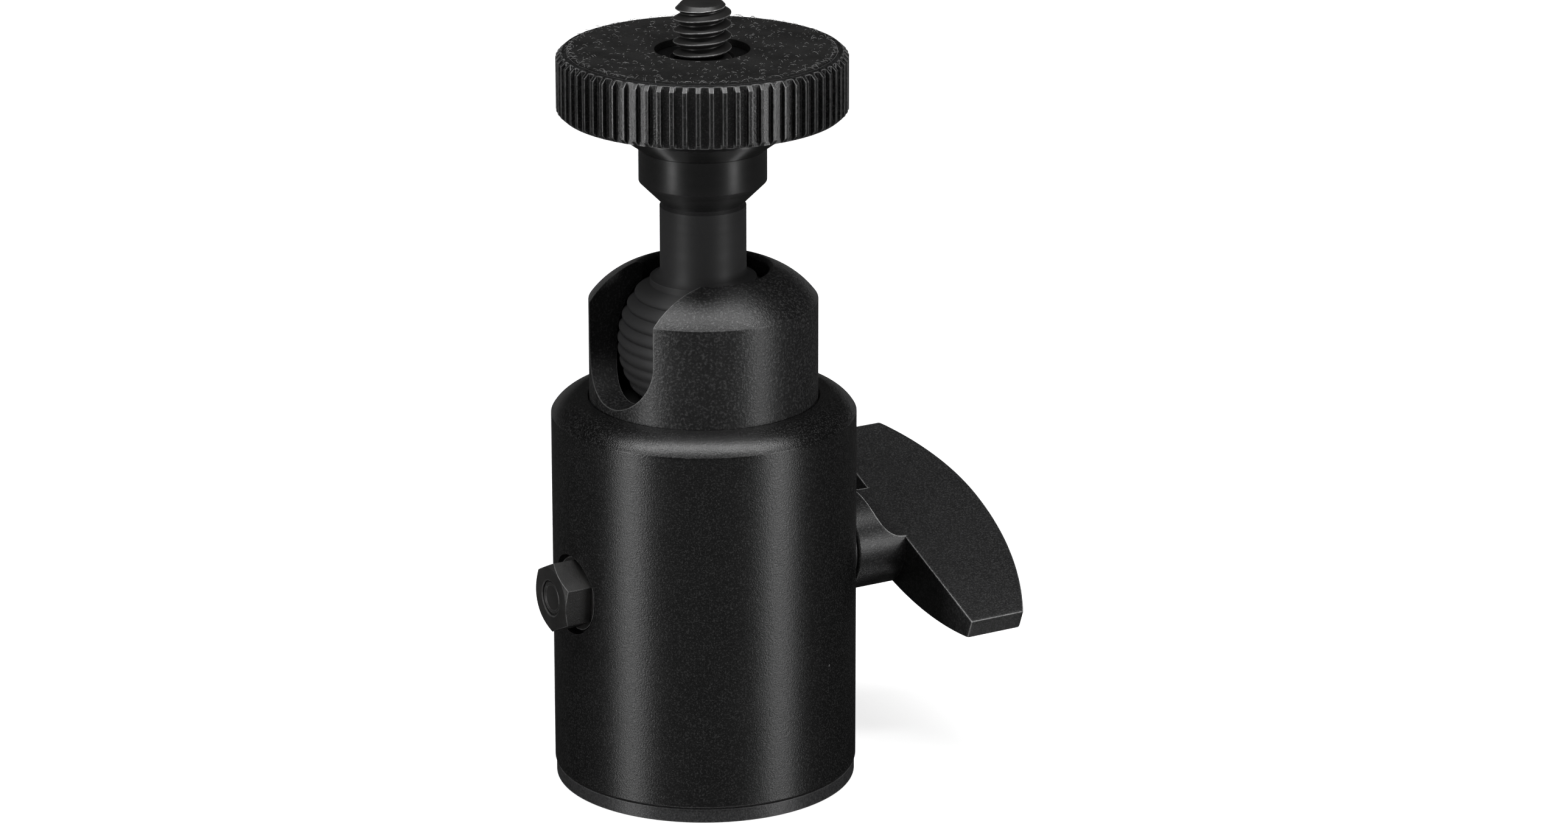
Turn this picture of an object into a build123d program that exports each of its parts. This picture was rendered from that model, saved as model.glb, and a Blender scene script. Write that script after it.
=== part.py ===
from build123d import *
import math
import os

# Compact tripod ball head: a round housing, a panning cup with a side notch, a ribbed ball on a
# stem, a camera screw with a knurled lock disc, and one cross shaft worked by a two-winged lever.
# Millimetres. The origin is the middle of the flat base, +Z runs up the body's axis and +X runs
# along the cross shaft, towards the lever.

# ---------------------------------------------------------------- fits between pieces
running_gap = 0.05        # radial gap of a shaft that turns in its bush
socket_gap = 0.06         # radial gap between the ball and what holds it
slide_gap = 0.10          # radial gap of a piston, or of the cup in its collar
press_gap = 0.02          # radial gap of a piece that is fixed in its hole
axial_gap = 0.05          # gap beside a face that turns past its neighbour

# ---------------------------------------------------------------- housing
body_bottom_z = 1.7       # the base plate's rim shows below this
body_edge_chamfer = 0.2
body_wall = 3.2
shoulder_drop = 8.0       # from the ball's middle to the crease where the wall turns in
shoulder_width = 4.2      # from the cup's wall to the housing's wall
shoulder_arc_radius = 4.3
shoulder_start_deg = 35.0
lip_drop = 9.7            # from the ball's middle to the face that holds the cup down

# ---------------------------------------------------------------- base
base_edge_inset = 0.15    # how far the base plate stands inside the housing's wall
base_edge_chamfer = 0.15
spigot_height = 6.3       # above the bottom of the housing
spanner_hole_radius = 1.1
spanner_hole_depth = 2.2
spanner_hole_inset = 6.2       # from the housing's wall
large_thread_radius = 4.76     # 3/8 inch thread, outside
small_thread_radius = 3.2      # clears a 1/4 inch stud
bush_flange_overlap = 1.44     # beyond the 3/8 inch thread
bush_flange_thickness = 1.2
bush_top_inset = 0.4
coin_slot_width = 1.2
coin_slot_depth = 0.8
lock_screw_radius = 1.5
lock_screw_height = 3.3        # above the bottom of the housing
lock_screw_inset = 0.35
lock_screw_depth = 1.6         # into the base plate's spigot
hex_key_across_flats = 1.5
hex_key_depth = 1.2

# ---------------------------------------------------------------- cross shaft and its ends
shaft_z = 23.5
shaft_radius = 3.0
cam_radius = 4.2
cam_offset = 0.45
cam_half_length = 8.0
nut_bush_wall = 0.9
nut_bush_length = 3.5
nut_recess_gap = 0.4           # round the nut's corners
nut_recess_depth = 1.25        # below the wall's outermost line
nut_washer_thickness = 0.5
nut_thickness = 3.2
nut_across_flats = 7.0
nut_turn_deg = 33.5
nut_chamfer_height = 0.45
nut_chamfer_overlap = 0.8      # how far the chamfer runs in from the corners
nut_thread_radius = 1.93
nut_thread_inset = 0.3
spotface_overlap = 0.4         # beyond the lever's hub
spotface_depth = 0.8
thrust_washer_thickness = 0.75
thrust_washer_inset = 0.4      # inside the lever's hub

# ---------------------------------------------------------------- plunger and seat
follower_radius = 6.0
follower_thickness = 2.8
follower_gap = 0.1             # between the cam and the follower, with the lever locked
follower_spigot_radius = 2.4
follower_spigot_gap = 0.6      # lets the springs close up
spring_washer_count = 4
spring_washer_thickness = 0.4
spring_washer_dish = 0.25
spring_washer_side_gap = 0.2   # to the spigot inside, and inside the follower's edge
spring_washer_gap = 0.02
cross_bore_gap = 0.35          # round the cam's furthest reach
piston_skirt = 6.9             # below the shaft
piston_roof = 2.82             # over the springs
boss_height = 2.4
seat_floor = 1.44
seat_height = 4.9
seat_side_gap = 0.25
seat_hole_radius = 3.2

# ---------------------------------------------------------------- ball and stem
ball_radius = 9.4
rib_pitch = 1.33
first_groove_drop = 2.9        # from the top of the ball's sphere
last_groove_rise = 1.2         # at least this far above the bottom of the ball
upper_groove_depth = 0.36
lower_groove_depth = 0.22
foot_radius = 5.8              # foot of the neck, where it flares into the ball
foot_bottom_drop = 2.8         # these three are drops from the top of the ball's sphere
foot_top_drop = 2.1
flare_drop = 1.05
neck_radius = 4.7
relief_inset = 0.35            # narrow ring between the neck and the collar's cone
relief_height = 0.25
collar_radius = 6.95
collar_rise = 18.2             # from the ball's middle to the collar's lower edge
collar_height = 3.7
collar_edge_chamfer = 0.12
stud_hole_depth = 10.8
stud_hole_gap = 0.4            # left below the stud

# ---------------------------------------------------------------- panning cup
cup_wall = 3.04                # round the ball's socket
cup_edge_rise = 4.8            # from the ball's middle to the crease under the dome
dome_arc_radius = 9.5
dome_start_deg = 36.0
cup_hole_gap = 2.4             # round the neck
cup_rim_rounding = 0.5
flange_side_gap = 0.2
flange_thickness = 2.0
pan_washer_thickness = 0.5
notch_heading_deg = -173.0     # direction of the notch, seen from above
notch_side_gap = 1.2           # beside the neck
notch_bottom_rise = 0.5        # from the ball's middle to the middle of the notch's round end

# ---------------------------------------------------------------- lever
lever_tilt_deg = 21.6          # the front wing points this far below level
hub_radius = 5.4
hub_length = 5.9               # from its inner end to the wings
hub_tail = 3.9                 # runs on under the wings
hub_end_chamfer = 1.2
wing_depth = 12.0              # from the inner edge to the apex
front_wing_length = 19.7
back_wing_length = 14.8
front_arc_radius = 39.5
back_arc_radius = 26.0
wing_face_height = 3.2         # flat face above the shaft's axis
wing_belly_depth = 3.8         # rounded underside below the shaft's axis
wing_belly_radius = 44.0
runout_radius = 3.35
lever_spigot_radius = 2.2
lever_spigot_length = 7.4
pin_radius = 1.0
pin_bore_radius = 0.55
pin_slit_width = 0.35
pin_distance = 3.4             # from the hub's inner end
pin_inset = 0.15

# ---------------------------------------------------------------- lock disc and camera screw
disc_hub_overlap = 2.6         # beyond the collar
disc_hub_cone_height = 1.9
disc_hub_height = 3.75         # from the collar to the disc
disc_radius = 15.75
disc_thickness = 6.85
disc_bevel_width = 0.85
disc_bevel_height = 0.4
disc_bore_radius = 6.0
knurl_count = 70
knurl_groove_width = 0.9
knurl_groove_depth = 0.6
pad_rim_width = 1.35           # from the disc's edge to the pad
pad_thickness = 0.8
pad_recess_depth = 0.6
pad_hole_radius = 5.15
countersink_width = 0.36       # beyond the camera screw
stud_radius = 3.14             # 1/4 inch thread, outside
stud_groove_depth = 0.19
stud_groove_height = 0.6
stud_groove_gap = 0.3          # thread starts this far above the pad
stud_reach = 5.3               # above the pad
stud_bevel_height = 0.9
stud_bevel_width = 0.85
stud_crown_height = 0.2

# ---------------------------------------------------------------- worked out: across
socket_radius = ball_radius + socket_gap
cup_radius = socket_radius + cup_wall
lip_bore_radius = cup_radius + slide_gap
body_radius = cup_radius + shoulder_width
cavity_radius = body_radius - body_wall
piston_radius = cavity_radius - slide_gap
flange_radius = cavity_radius - flange_side_gap
boss_radius = socket_radius - seat_side_gap
cup_hole_radius = neck_radius + cup_hole_gap
notch_half_width = neck_radius + notch_side_gap
relief_radius = neck_radius - relief_inset
shaft_bore_radius = shaft_radius + running_gap
cam_reach = cam_radius + cam_offset
cross_bore_radius = cam_reach + cross_bore_gap
lever_bush_radius = cam_reach + slide_gap
pocket_radius = follower_radius + slide_gap
spring_washer_inner_radius = follower_spigot_radius + spring_washer_side_gap
spring_washer_outer_radius = follower_radius - spring_washer_side_gap
nut_bush_radius = shaft_bore_radius + nut_bush_wall
nut_corner_radius = nut_across_flats / math.sqrt(3)
nut_recess_radius = nut_corner_radius + nut_recess_gap
bush_flange_radius = large_thread_radius + bush_flange_overlap
spanner_hole_circle = body_radius - spanner_hole_inset
stud_bore_radius = stud_radius + running_gap
countersink_radius = stud_radius + countersink_width
disc_hub_radius = collar_radius + disc_hub_overlap
hub_spigot_radius = disc_bore_radius - running_gap
pad_radius = disc_radius - pad_rim_width

# ---------------------------------------------------------------- worked out: along the shaft
recess_floor_x = body_radius - nut_recess_depth
nut_washer_x = recess_floor_x + axial_gap
nut_x = nut_washer_x + nut_washer_thickness
nut_end_x = nut_x + nut_thickness
spotface_x = body_radius - spotface_depth
lever_start_x = spotface_x + thrust_washer_thickness + axial_gap
wing_inner_x = lever_start_x + hub_length
wing_apex_x = wing_inner_x + wing_depth
hub_end_x = wing_inner_x + hub_tail

# ---------------------------------------------------------------- worked out: upwards
spigot_top_z = body_bottom_z + spigot_height
lock_screw_z = body_bottom_z + lock_screw_height
piston_bottom_z = shaft_z - piston_skirt
follower_bottom_z = shaft_z + cam_reach + follower_gap
follower_top_z = follower_bottom_z + follower_thickness
spring_washer_pitch = spring_washer_thickness + spring_washer_dish + spring_washer_gap
pocket_roof_z = follower_top_z + spring_washer_count * spring_washer_pitch + axial_gap
piston_top_z = pocket_roof_z + piston_roof
seat_bottom_z = piston_top_z + boss_height
seat_top_z = seat_bottom_z + seat_height
ball_z = seat_bottom_z + seat_floor + socket_radius
shoulder_edge_z = ball_z - shoulder_drop
lip_underside_z = ball_z - lip_drop
flange_top_z = lip_underside_z - pan_washer_thickness - axial_gap
cup_bottom_z = flange_top_z - flange_thickness
cup_edge_z = ball_z + cup_edge_rise
notch_bottom_centre_z = ball_z + notch_bottom_rise
first_groove_height = ball_radius - first_groove_drop
groove_count = 1 + int((first_groove_height + ball_radius - last_groove_rise) / rib_pitch)
foot_bottom_height = ball_radius - foot_bottom_drop
foot_top_height = ball_radius - foot_top_drop
flare_height = ball_radius - flare_drop
collar_bottom_z = ball_z + collar_rise
collar_top_z = collar_bottom_z + collar_height
cone_bottom_z = collar_bottom_z - (collar_radius - relief_radius)
stud_bottom_z = collar_top_z - stud_hole_depth + stud_hole_gap
disc_bottom_z = collar_top_z + disc_hub_height
disc_top_z = disc_bottom_z + disc_thickness
pad_bottom_z = disc_top_z - pad_recess_depth
pad_top_z = pad_bottom_z + pad_thickness
hub_top_z = pad_bottom_z - axial_gap
stud_tip_z = pad_top_z + stud_reach

# ---------------------------------------------------------------- where turned shapes are laid
lever_place = Pos(0, 0, shaft_z) * Rot(lever_tilt_deg, 0, 0)
shaft_end_plane = Plane(origin=(0, 0, shaft_z), x_dir=(0, 1, 0), z_dir=(1, 0, 0))


# ---------------------------------------------------------------- small helpers
def at(radius, height):
    """A point of an outline that is turned about the Z axis."""
    return (radius, 0, height)


def arc_point(centre_radius, centre_z, radius, angle_deg):
    """The outline point at an angle on an arc, measured up from level."""
    angle = math.radians(angle_deg)
    return at(centre_radius + radius * math.cos(angle), centre_z + radius * math.sin(angle))


def turned(*edges):
    """Turn a closed outline once round the Z axis."""
    return revolve(make_face(list(edges)), Axis.Z)


def turned_polygon(points):
    """Turn a straight-sided outline of (radius, height) pairs about the Z axis."""
    return turned(Polyline(*[at(radius, height) for radius, height in points], close=True))


def ring(outer_radius, inner_radius, bottom_z, top_z):
    """A plain ring about the Z axis."""
    corners = [
        (inner_radius, bottom_z),
        (outer_radius, bottom_z),
        (outer_radius, top_z),
        (inner_radius, top_z),
    ]
    return turned_polygon(corners)


def rod(radius, bottom_z, top_z):
    """A plain round rod about the Z axis."""
    return Pos(0, 0, (bottom_z + top_z) / 2) * Cylinder(radius, top_z - bottom_z)


def along_shaft(shape):
    """Lay a shape made about the Z axis onto the cross shaft's line: its heights become X."""
    return Pos(0, 0, shaft_z) * Rot(0, 90, 0) * shape


# ---------------------------------------------------------------- housing and what is fixed in it
def make_housing():
    """Cup-shaped body, open below, with the lip, the cross bore and the two side faces."""
    arc_centre_r = body_radius - shoulder_arc_radius * math.cos(math.radians(shoulder_start_deg))
    arc_centre_z = shoulder_edge_z - shoulder_arc_radius * math.sin(math.radians(shoulder_start_deg))
    arc_middle_deg = (shoulder_start_deg + 90) / 2
    top_z = arc_centre_z + shoulder_arc_radius
    shoulder = ThreePointArc(
        at(body_radius, shoulder_edge_z),
        arc_point(arc_centre_r, arc_centre_z, shoulder_arc_radius, arc_middle_deg),
        at(arc_centre_r, top_z),
    )
    rest = Polyline(
        at(arc_centre_r, top_z),
        at(lip_bore_radius, top_z),
        at(lip_bore_radius, lip_underside_z),
        at(cavity_radius, lip_underside_z),
        at(cavity_radius, body_bottom_z),
        at(body_radius - body_edge_chamfer, body_bottom_z),
        at(body_radius, body_bottom_z + body_edge_chamfer),
        at(body_radius, shoulder_edge_z),
    )
    body = turned(shoulder, rest)
    body -= along_shaft(rod(nut_bush_radius + press_gap, -body_radius, 0))
    body -= along_shaft(rod(nut_recess_radius, -2 * body_radius, -recess_floor_x))
    body -= along_shaft(rod(lever_bush_radius + press_gap, 0, body_radius))
    body -= along_shaft(rod(hub_radius + spotface_overlap, spotface_x, 2 * body_radius))
    body -= lock_screw_line(rod(lock_screw_radius + press_gap, 0, 2 * body_radius))
    return body


def lock_screw_line(shape):
    """Lay a shape made about the Z axis onto the base lock screw's line, out of the back."""
    return Pos(0, 0, lock_screw_z) * Rot(-90, 0, 0) * shape


def make_base_plate():
    """Closing plate with a spigot up into the housing and a threaded middle."""
    edge_radius = body_radius - base_edge_inset
    spigot_radius = cavity_radius - press_gap
    thread_hole = large_thread_radius + press_gap
    flange_hole = bush_flange_radius + press_gap
    plate = turned_polygon([
        (flange_hole, 0),
        (edge_radius - base_edge_chamfer, 0),
        (edge_radius, base_edge_chamfer),
        (edge_radius, body_bottom_z),
        (spigot_radius, body_bottom_z),
        (spigot_radius, spigot_top_z),
        (thread_hole, spigot_top_z),
        (thread_hole, bush_flange_thickness),
        (flange_hole, bush_flange_thickness),
    ])
    for side in (-1, 1):
        plate -= Pos(side * spanner_hole_circle, 0, 0) * rod(spanner_hole_radius, 0, spanner_hole_depth)
    screw_tip = cavity_radius - lock_screw_depth
    plate -= lock_screw_line(rod(lock_screw_radius + press_gap, screw_tip - axial_gap, body_radius))
    return plate


def make_reducer_bush():
    """Flanged bush that takes the 3/8 inch hole down to 1/4 inch, slotted for a coin."""
    bush = turned_polygon([
        (small_thread_radius, 0),
        (bush_flange_radius, 0),
        (bush_flange_radius, bush_flange_thickness),
        (large_thread_radius, bush_flange_thickness),
        (large_thread_radius, spigot_top_z - bush_top_inset),
        (small_thread_radius, spigot_top_z - bush_top_inset),
    ])
    slot = Box(2 * bush_flange_radius, coin_slot_width, 2 * coin_slot_depth)
    return bush - slot


def make_base_lock_screw():
    """Grub screw through the back of the housing into the base plate's spigot."""
    tip = cavity_radius - lock_screw_depth
    head = body_radius - lock_screw_inset
    screw = rod(lock_screw_radius, tip, head)
    key = RegularPolygon(hex_key_across_flats / 2, 6, major_radius=False)
    screw -= Pos(0, 0, head - hex_key_depth) * extrude(key, hex_key_depth)
    return lock_screw_line(screw)


def make_pan_washer():
    """Slippery ring between the cup's flange and the housing's lip."""
    return ring(
        cavity_radius - press_gap, lip_bore_radius, lip_underside_z - pan_washer_thickness, lip_underside_z)


def make_nut_side_bush():
    """Plain bush for the thin end of the cross shaft."""
    return along_shaft(ring(
        nut_bush_radius, shaft_bore_radius, -recess_floor_x, nut_bush_length - recess_floor_x))


def make_lever_side_bush():
    """Plain bush that fills the hole the cam goes in through."""
    return along_shaft(ring(lever_bush_radius, shaft_bore_radius, cavity_radius, spotface_x))


def make_thrust_washer():
    """Washer between the housing's flat and the lever's hub."""
    outer_radius = hub_radius - thrust_washer_inset
    return along_shaft(ring(
        outer_radius, shaft_bore_radius, spotface_x, spotface_x + thrust_washer_thickness))


# ---------------------------------------------------------------- cup, ball and stem
def make_cup():
    """Domed cup that holds the ball from above, notched on one side, with a flange below."""
    centre_r = cup_radius - dome_arc_radius * math.cos(math.radians(dome_start_deg))
    centre_z = cup_edge_z - dome_arc_radius * math.sin(math.radians(dome_start_deg))
    rim_outer_radius = cup_hole_radius + cup_rim_rounding
    rim_deg = math.degrees(math.acos((rim_outer_radius - centre_r) / dome_arc_radius))
    rim_outer = arc_point(centre_r, centre_z, dome_arc_radius, rim_deg)
    rim_z = rim_outer[2] - cup_rim_rounding
    socket_edge_z = ball_z + math.sqrt(socket_radius**2 - cup_hole_radius**2)
    socket_edge_deg = math.degrees(math.acos(cup_hole_radius / socket_radius))
    dome = ThreePointArc(
        at(cup_radius, cup_edge_z),
        arc_point(centre_r, centre_z, dome_arc_radius, (dome_start_deg + rim_deg) / 2),
        rim_outer,
    )
    rim = ThreePointArc(
        rim_outer,
        arc_point(rim_outer_radius, rim_z, cup_rim_rounding, 135),
        at(cup_hole_radius, rim_z),
    )
    hole = Line(at(cup_hole_radius, rim_z), at(cup_hole_radius, socket_edge_z))
    socket = ThreePointArc(
        at(cup_hole_radius, socket_edge_z),
        arc_point(0, ball_z, socket_radius, socket_edge_deg / 2),
        at(socket_radius, ball_z),
    )
    wall = Polyline(
        at(socket_radius, ball_z),
        at(socket_radius, cup_bottom_z),
        at(flange_radius, cup_bottom_z),
        at(flange_radius, flange_top_z),
        at(cup_radius, flange_top_z),
        at(cup_radius, cup_edge_z),
    )
    return turned(dome, rim, hole, socket, wall) - notch_cutter()


def notch_cutter():
    """U-shaped slot from the middle out through one side of the cup, open at the top."""
    reach = 2 * cup_radius
    height = 2 * cup_radius
    straight = Pos(reach / 2, 0, height / 2) * Box(reach, 2 * notch_half_width, height)
    bottom = Pos(reach / 2, 0, 0) * Rot(0, 90, 0) * Cylinder(notch_half_width, reach)
    return Pos(0, 0, notch_bottom_centre_z) * Rot(0, 0, notch_heading_deg) * (straight + bottom)


def ball_point(radius, height):
    """The outline point at a height above the ball's middle, on a sphere of a radius."""
    return at(math.sqrt(radius**2 - height**2), ball_z + height)


def make_ball_stem():
    """Ribbed ball, neck, cone and collar in one piece, bored for the camera screw."""
    heights = [first_groove_height - rib_pitch * index for index in range(groove_count)]
    depths = [upper_groove_depth if height > 0 else lower_groove_depth for height in heights]
    grooves = [ball_point(ball_radius - depth, height) for height, depth in zip(heights, depths)]
    ribs = []
    for index in range(groove_count - 1):
        crest = ball_point(ball_radius, (heights[index] + heights[index + 1]) / 2)
        ribs.append(ThreePointArc(grooves[index], crest, grooves[index + 1]))
    bottom_radius = ball_radius - lower_groove_depth
    bottom_height = (heights[-1] - bottom_radius) / 2
    bottom = ThreePointArc(
        grooves[-1], ball_point(bottom_radius, bottom_height), at(0, ball_z - bottom_radius))
    flare = TangentArc(
        at(neck_radius, ball_z + flare_height), at(foot_radius, ball_z + foot_top_height), tangent=(0, 0, -1))
    foot = Polyline(
        at(foot_radius, ball_z + foot_top_height), at(foot_radius, ball_z + foot_bottom_height), grooves[0])
    stem = Polyline(
        at(0, ball_z - bottom_radius),
        at(0, collar_top_z - stud_hole_depth),
        at(stud_bore_radius, collar_top_z - stud_hole_depth),
        at(stud_bore_radius, collar_top_z),
        at(collar_radius - collar_edge_chamfer, collar_top_z),
        at(collar_radius, collar_top_z - collar_edge_chamfer),
        at(collar_radius, collar_bottom_z),
        at(relief_radius, cone_bottom_z),
        at(neck_radius, cone_bottom_z - relief_height),
        at(neck_radius, ball_z + flare_height),
    )
    return turned(*ribs, bottom, stem, flare, foot)


# ---------------------------------------------------------------- what presses on the ball
def make_ball_seat():
    """Plastic ring under the ball, hollowed to its shape."""
    top_radius = math.sqrt(socket_radius**2 - (ball_z - seat_top_z) ** 2)
    hole_height = -math.sqrt(socket_radius**2 - seat_hole_radius**2)
    middle_height = (seat_top_z - ball_z + hole_height) / 2
    hollow = ThreePointArc(
        at(top_radius, seat_top_z),
        ball_point(socket_radius, middle_height),
        at(seat_hole_radius, ball_z + hole_height),
    )
    rest = Polyline(
        at(seat_hole_radius, ball_z + hole_height),
        at(seat_hole_radius, seat_bottom_z),
        at(boss_radius, seat_bottom_z),
        at(boss_radius, seat_top_z),
        at(top_radius, seat_top_z),
    )
    return turned(hollow, rest)


def make_plunger():
    """Piston with a boss under the seat, a cross bore for the cam and a pocket for the springs."""
    piston = rod(piston_radius, piston_bottom_z, piston_top_z) + rod(boss_radius, piston_top_z, seat_bottom_z)
    piston -= rod(pocket_radius, piston_bottom_z, pocket_roof_z)
    piston -= along_shaft(rod(cross_bore_radius, -body_radius, body_radius))
    return piston


def make_cam_follower():
    """Hardened button that rides on the cam and carries the spring washers."""
    spigot_top_z = pocket_roof_z - follower_spigot_gap
    return rod(follower_radius, follower_bottom_z, follower_top_z) + rod(
        follower_spigot_radius, follower_top_z, spigot_top_z)


def make_disc_springs():
    """Dished spring washers, stacked in turn up and down."""
    washers = []
    for index in range(spring_washer_count):
        low_z = follower_top_z + index * spring_washer_pitch
        high_z = low_z + spring_washer_dish
        inner_z, outer_z = (high_z, low_z) if index % 2 == 0 else (low_z, high_z)
        washers.append(turned_polygon([
            (spring_washer_inner_radius, inner_z),
            (spring_washer_outer_radius, outer_z),
            (spring_washer_outer_radius, outer_z + spring_washer_thickness),
            (spring_washer_inner_radius, inner_z + spring_washer_thickness),
        ]))
    return Compound(children=washers)


# ---------------------------------------------------------------- cross shaft, nut and lever
def make_cross_shaft():
    """Shaft with the cam in its middle, a threaded nut end and a spigot for the lever."""
    cam = rod(cam_radius, -cam_half_length, cam_half_length)
    shaft = along_shaft(turned_polygon([
        (0, nut_thread_inset - nut_end_x),
        (nut_thread_radius, nut_thread_inset - nut_end_x),
        (nut_thread_radius, -nut_washer_x),
        (shaft_radius, -nut_washer_x),
        (shaft_radius, lever_start_x),
        (lever_spigot_radius, lever_start_x),
        (lever_spigot_radius, lever_start_x + lever_spigot_length),
        (0, lever_start_x + lever_spigot_length),
    ]))
    return shaft + Pos(0, 0, cam_offset) * along_shaft(cam) - pin_hole()


def pin_line(shape):
    """Lay a shape made about the Z axis onto the lever pin's line, its heights counted up the lever."""
    return lever_place * Pos(lever_start_x + pin_distance, 0, 0) * shape


def pin_hole():
    """Hole for the lever's pin, up from under the hub and through the shaft's spigot."""
    return pin_line(rod(pin_radius + press_gap, -2 * hub_radius, lever_spigot_radius + 2 * axial_gap))


def make_lever_pin():
    """Slit spring pin that ties the lever to the shaft."""
    bottom = pin_inset - hub_radius
    top = lever_spigot_radius + axial_gap
    slit = Pos(pin_radius, 0, (bottom + top) / 2) * Box(2 * pin_radius, pin_slit_width, top - bottom)
    return pin_line(ring(pin_radius, pin_bore_radius, bottom, top) - slit)


def make_nut_washer():
    """Washer between the nut and the shaft's shoulder."""
    return along_shaft(ring(
        nut_corner_radius, nut_thread_radius + press_gap, -nut_x, -nut_washer_x))


def make_shaft_nut():
    """Hexagon nut on the shaft's end, its outer corners chamfered."""
    outline = RegularPolygon(nut_corner_radius, 6, rotation=nut_turn_deg)
    prism = extrude(shaft_end_plane.offset(-nut_end_x) * outline, nut_thickness)
    envelope = along_shaft(turned_polygon([
        (nut_thread_radius + press_gap, -nut_end_x),
        (nut_corner_radius - nut_chamfer_overlap, -nut_end_x),
        (nut_corner_radius, nut_chamfer_height - nut_end_x),
        (nut_corner_radius, -nut_x),
        (nut_thread_radius + press_gap, -nut_x),
    ]))
    return prism & envelope


def wing_plan():
    """The wings from above: straight inside and at the tips, bowed outside."""
    front_centre_x = wing_apex_x - front_arc_radius
    back_centre_x = wing_apex_x - back_arc_radius
    front_tip_x = front_centre_x + math.sqrt(front_arc_radius**2 - front_wing_length**2)
    back_tip_x = back_centre_x + math.sqrt(back_arc_radius**2 - back_wing_length**2)
    front_middle_y = -front_wing_length / 2
    back_middle_y = back_wing_length / 2
    front_middle_x = front_centre_x + math.sqrt(front_arc_radius**2 - front_middle_y**2)
    back_middle_x = back_centre_x + math.sqrt(back_arc_radius**2 - back_middle_y**2)
    front = ThreePointArc(
        (front_tip_x, -front_wing_length), (front_middle_x, front_middle_y), (wing_apex_x, 0))
    back = ThreePointArc((wing_apex_x, 0), (back_middle_x, back_middle_y), (back_tip_x, back_wing_length))
    inside = Polyline(
        (back_tip_x, back_wing_length),
        (wing_inner_x, back_wing_length),
        (wing_inner_x, -front_wing_length),
        (front_tip_x, -front_wing_length),
    )
    return make_face([front, back, inside])


def make_lever():
    """Round hub with a wing to each side, flat on top and rounded beneath."""
    belly = Pos(wing_apex_x / 2, 0, wing_belly_radius - wing_belly_depth) * Rot(0, 90, 0) * Cylinder(
        wing_belly_radius, 2 * wing_apex_x)
    wings = Pos(0, 0, -hub_radius) * extrude(wing_plan(), hub_radius + wing_face_height) & belly
    hub = Rot(0, 90, 0) * turned_polygon([
        (0, lever_start_x),
        (hub_radius, lever_start_x),
        (hub_radius, hub_end_x - hub_end_chamfer),
        (hub_radius - hub_end_chamfer, hub_end_x),
        (0, hub_end_x),
    ])
    cut_height = 2 * hub_radius
    runout = Pos(wing_inner_x, 0, wing_face_height + runout_radius) * Rot(90, 0, 0) * Cylinder(
        runout_radius, 4 * hub_radius)
    above = Pos(wing_apex_x, 0, wing_face_height + cut_height / 2) * Box(
        2 * (wing_apex_x - wing_inner_x), 4 * hub_radius, cut_height)
    spigot_hole = Rot(0, 90, 0) * rod(
        lever_spigot_radius + press_gap, 0, lever_start_x + lever_spigot_length + axial_gap)
    return lever_place * (wings + (hub - runout - above) - spigot_hole) - pin_hole()


# ---------------------------------------------------------------- camera screw and lock disc
def make_camera_stud():
    """Camera screw, with a narrow groove below the stretch that stands out of the pad."""
    groove_top_z = pad_top_z + stud_groove_gap
    crown_radius = stud_radius - stud_bevel_width
    bevel_top_z = stud_tip_z - stud_crown_height
    side = Polyline(
        at(0, stud_tip_z),
        at(0, stud_bottom_z),
        at(stud_radius, stud_bottom_z),
        at(stud_radius, groove_top_z - stud_groove_height),
        at(stud_radius - stud_groove_depth, groove_top_z - stud_groove_height),
        at(stud_radius - stud_groove_depth, groove_top_z),
        at(stud_radius, groove_top_z),
        at(stud_radius, bevel_top_z - stud_bevel_height),
        at(crown_radius, bevel_top_z),
    )
    sphere_radius = (crown_radius**2 + stud_crown_height**2) / (2 * stud_crown_height)
    middle_radius = crown_radius / 2
    middle_z = stud_tip_z - sphere_radius + math.sqrt(sphere_radius**2 - middle_radius**2)
    crown = ThreePointArc(at(crown_radius, bevel_top_z), at(middle_radius, middle_z), at(0, stud_tip_z))
    return turned(side, crown)


def make_disc_hub():
    """Hub that runs on the camera screw and carries the knurled disc on a spigot."""
    return turned_polygon([
        (stud_bore_radius, collar_top_z),
        (collar_radius, collar_top_z),
        (disc_hub_radius, collar_top_z + disc_hub_cone_height),
        (disc_hub_radius, disc_bottom_z),
        (hub_spigot_radius, disc_bottom_z),
        (hub_spigot_radius, hub_top_z),
        (countersink_radius, hub_top_z),
        (stud_bore_radius, hub_top_z - (countersink_radius - stud_bore_radius)),
    ])


def make_knurled_disc():
    """Lock disc: straight knurl on the rim, bevelled edges and a recess for the pad."""
    rim = Circle(disc_radius) - PolarLocations(disc_radius, knurl_count) * Rectangle(
        2 * knurl_groove_depth, knurl_groove_width)
    knurled = Pos(0, 0, disc_bottom_z) * extrude(rim, disc_top_z - disc_bottom_z)
    bevel_radius = disc_radius - disc_bevel_width
    envelope = turned_polygon([
        (disc_bore_radius, disc_bottom_z),
        (bevel_radius, disc_bottom_z),
        (disc_radius, disc_bottom_z + disc_bevel_height),
        (disc_radius, disc_top_z - disc_bevel_height),
        (bevel_radius, disc_top_z),
        (pad_radius + press_gap, disc_top_z),
        (pad_radius + press_gap, pad_bottom_z),
        (disc_bore_radius, pad_bottom_z),
    ])
    return knurled & envelope


def make_friction_pad():
    """Thin pad that the camera's base sits on."""
    return ring(pad_radius, pad_hole_radius, pad_bottom_z, pad_top_z)


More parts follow.
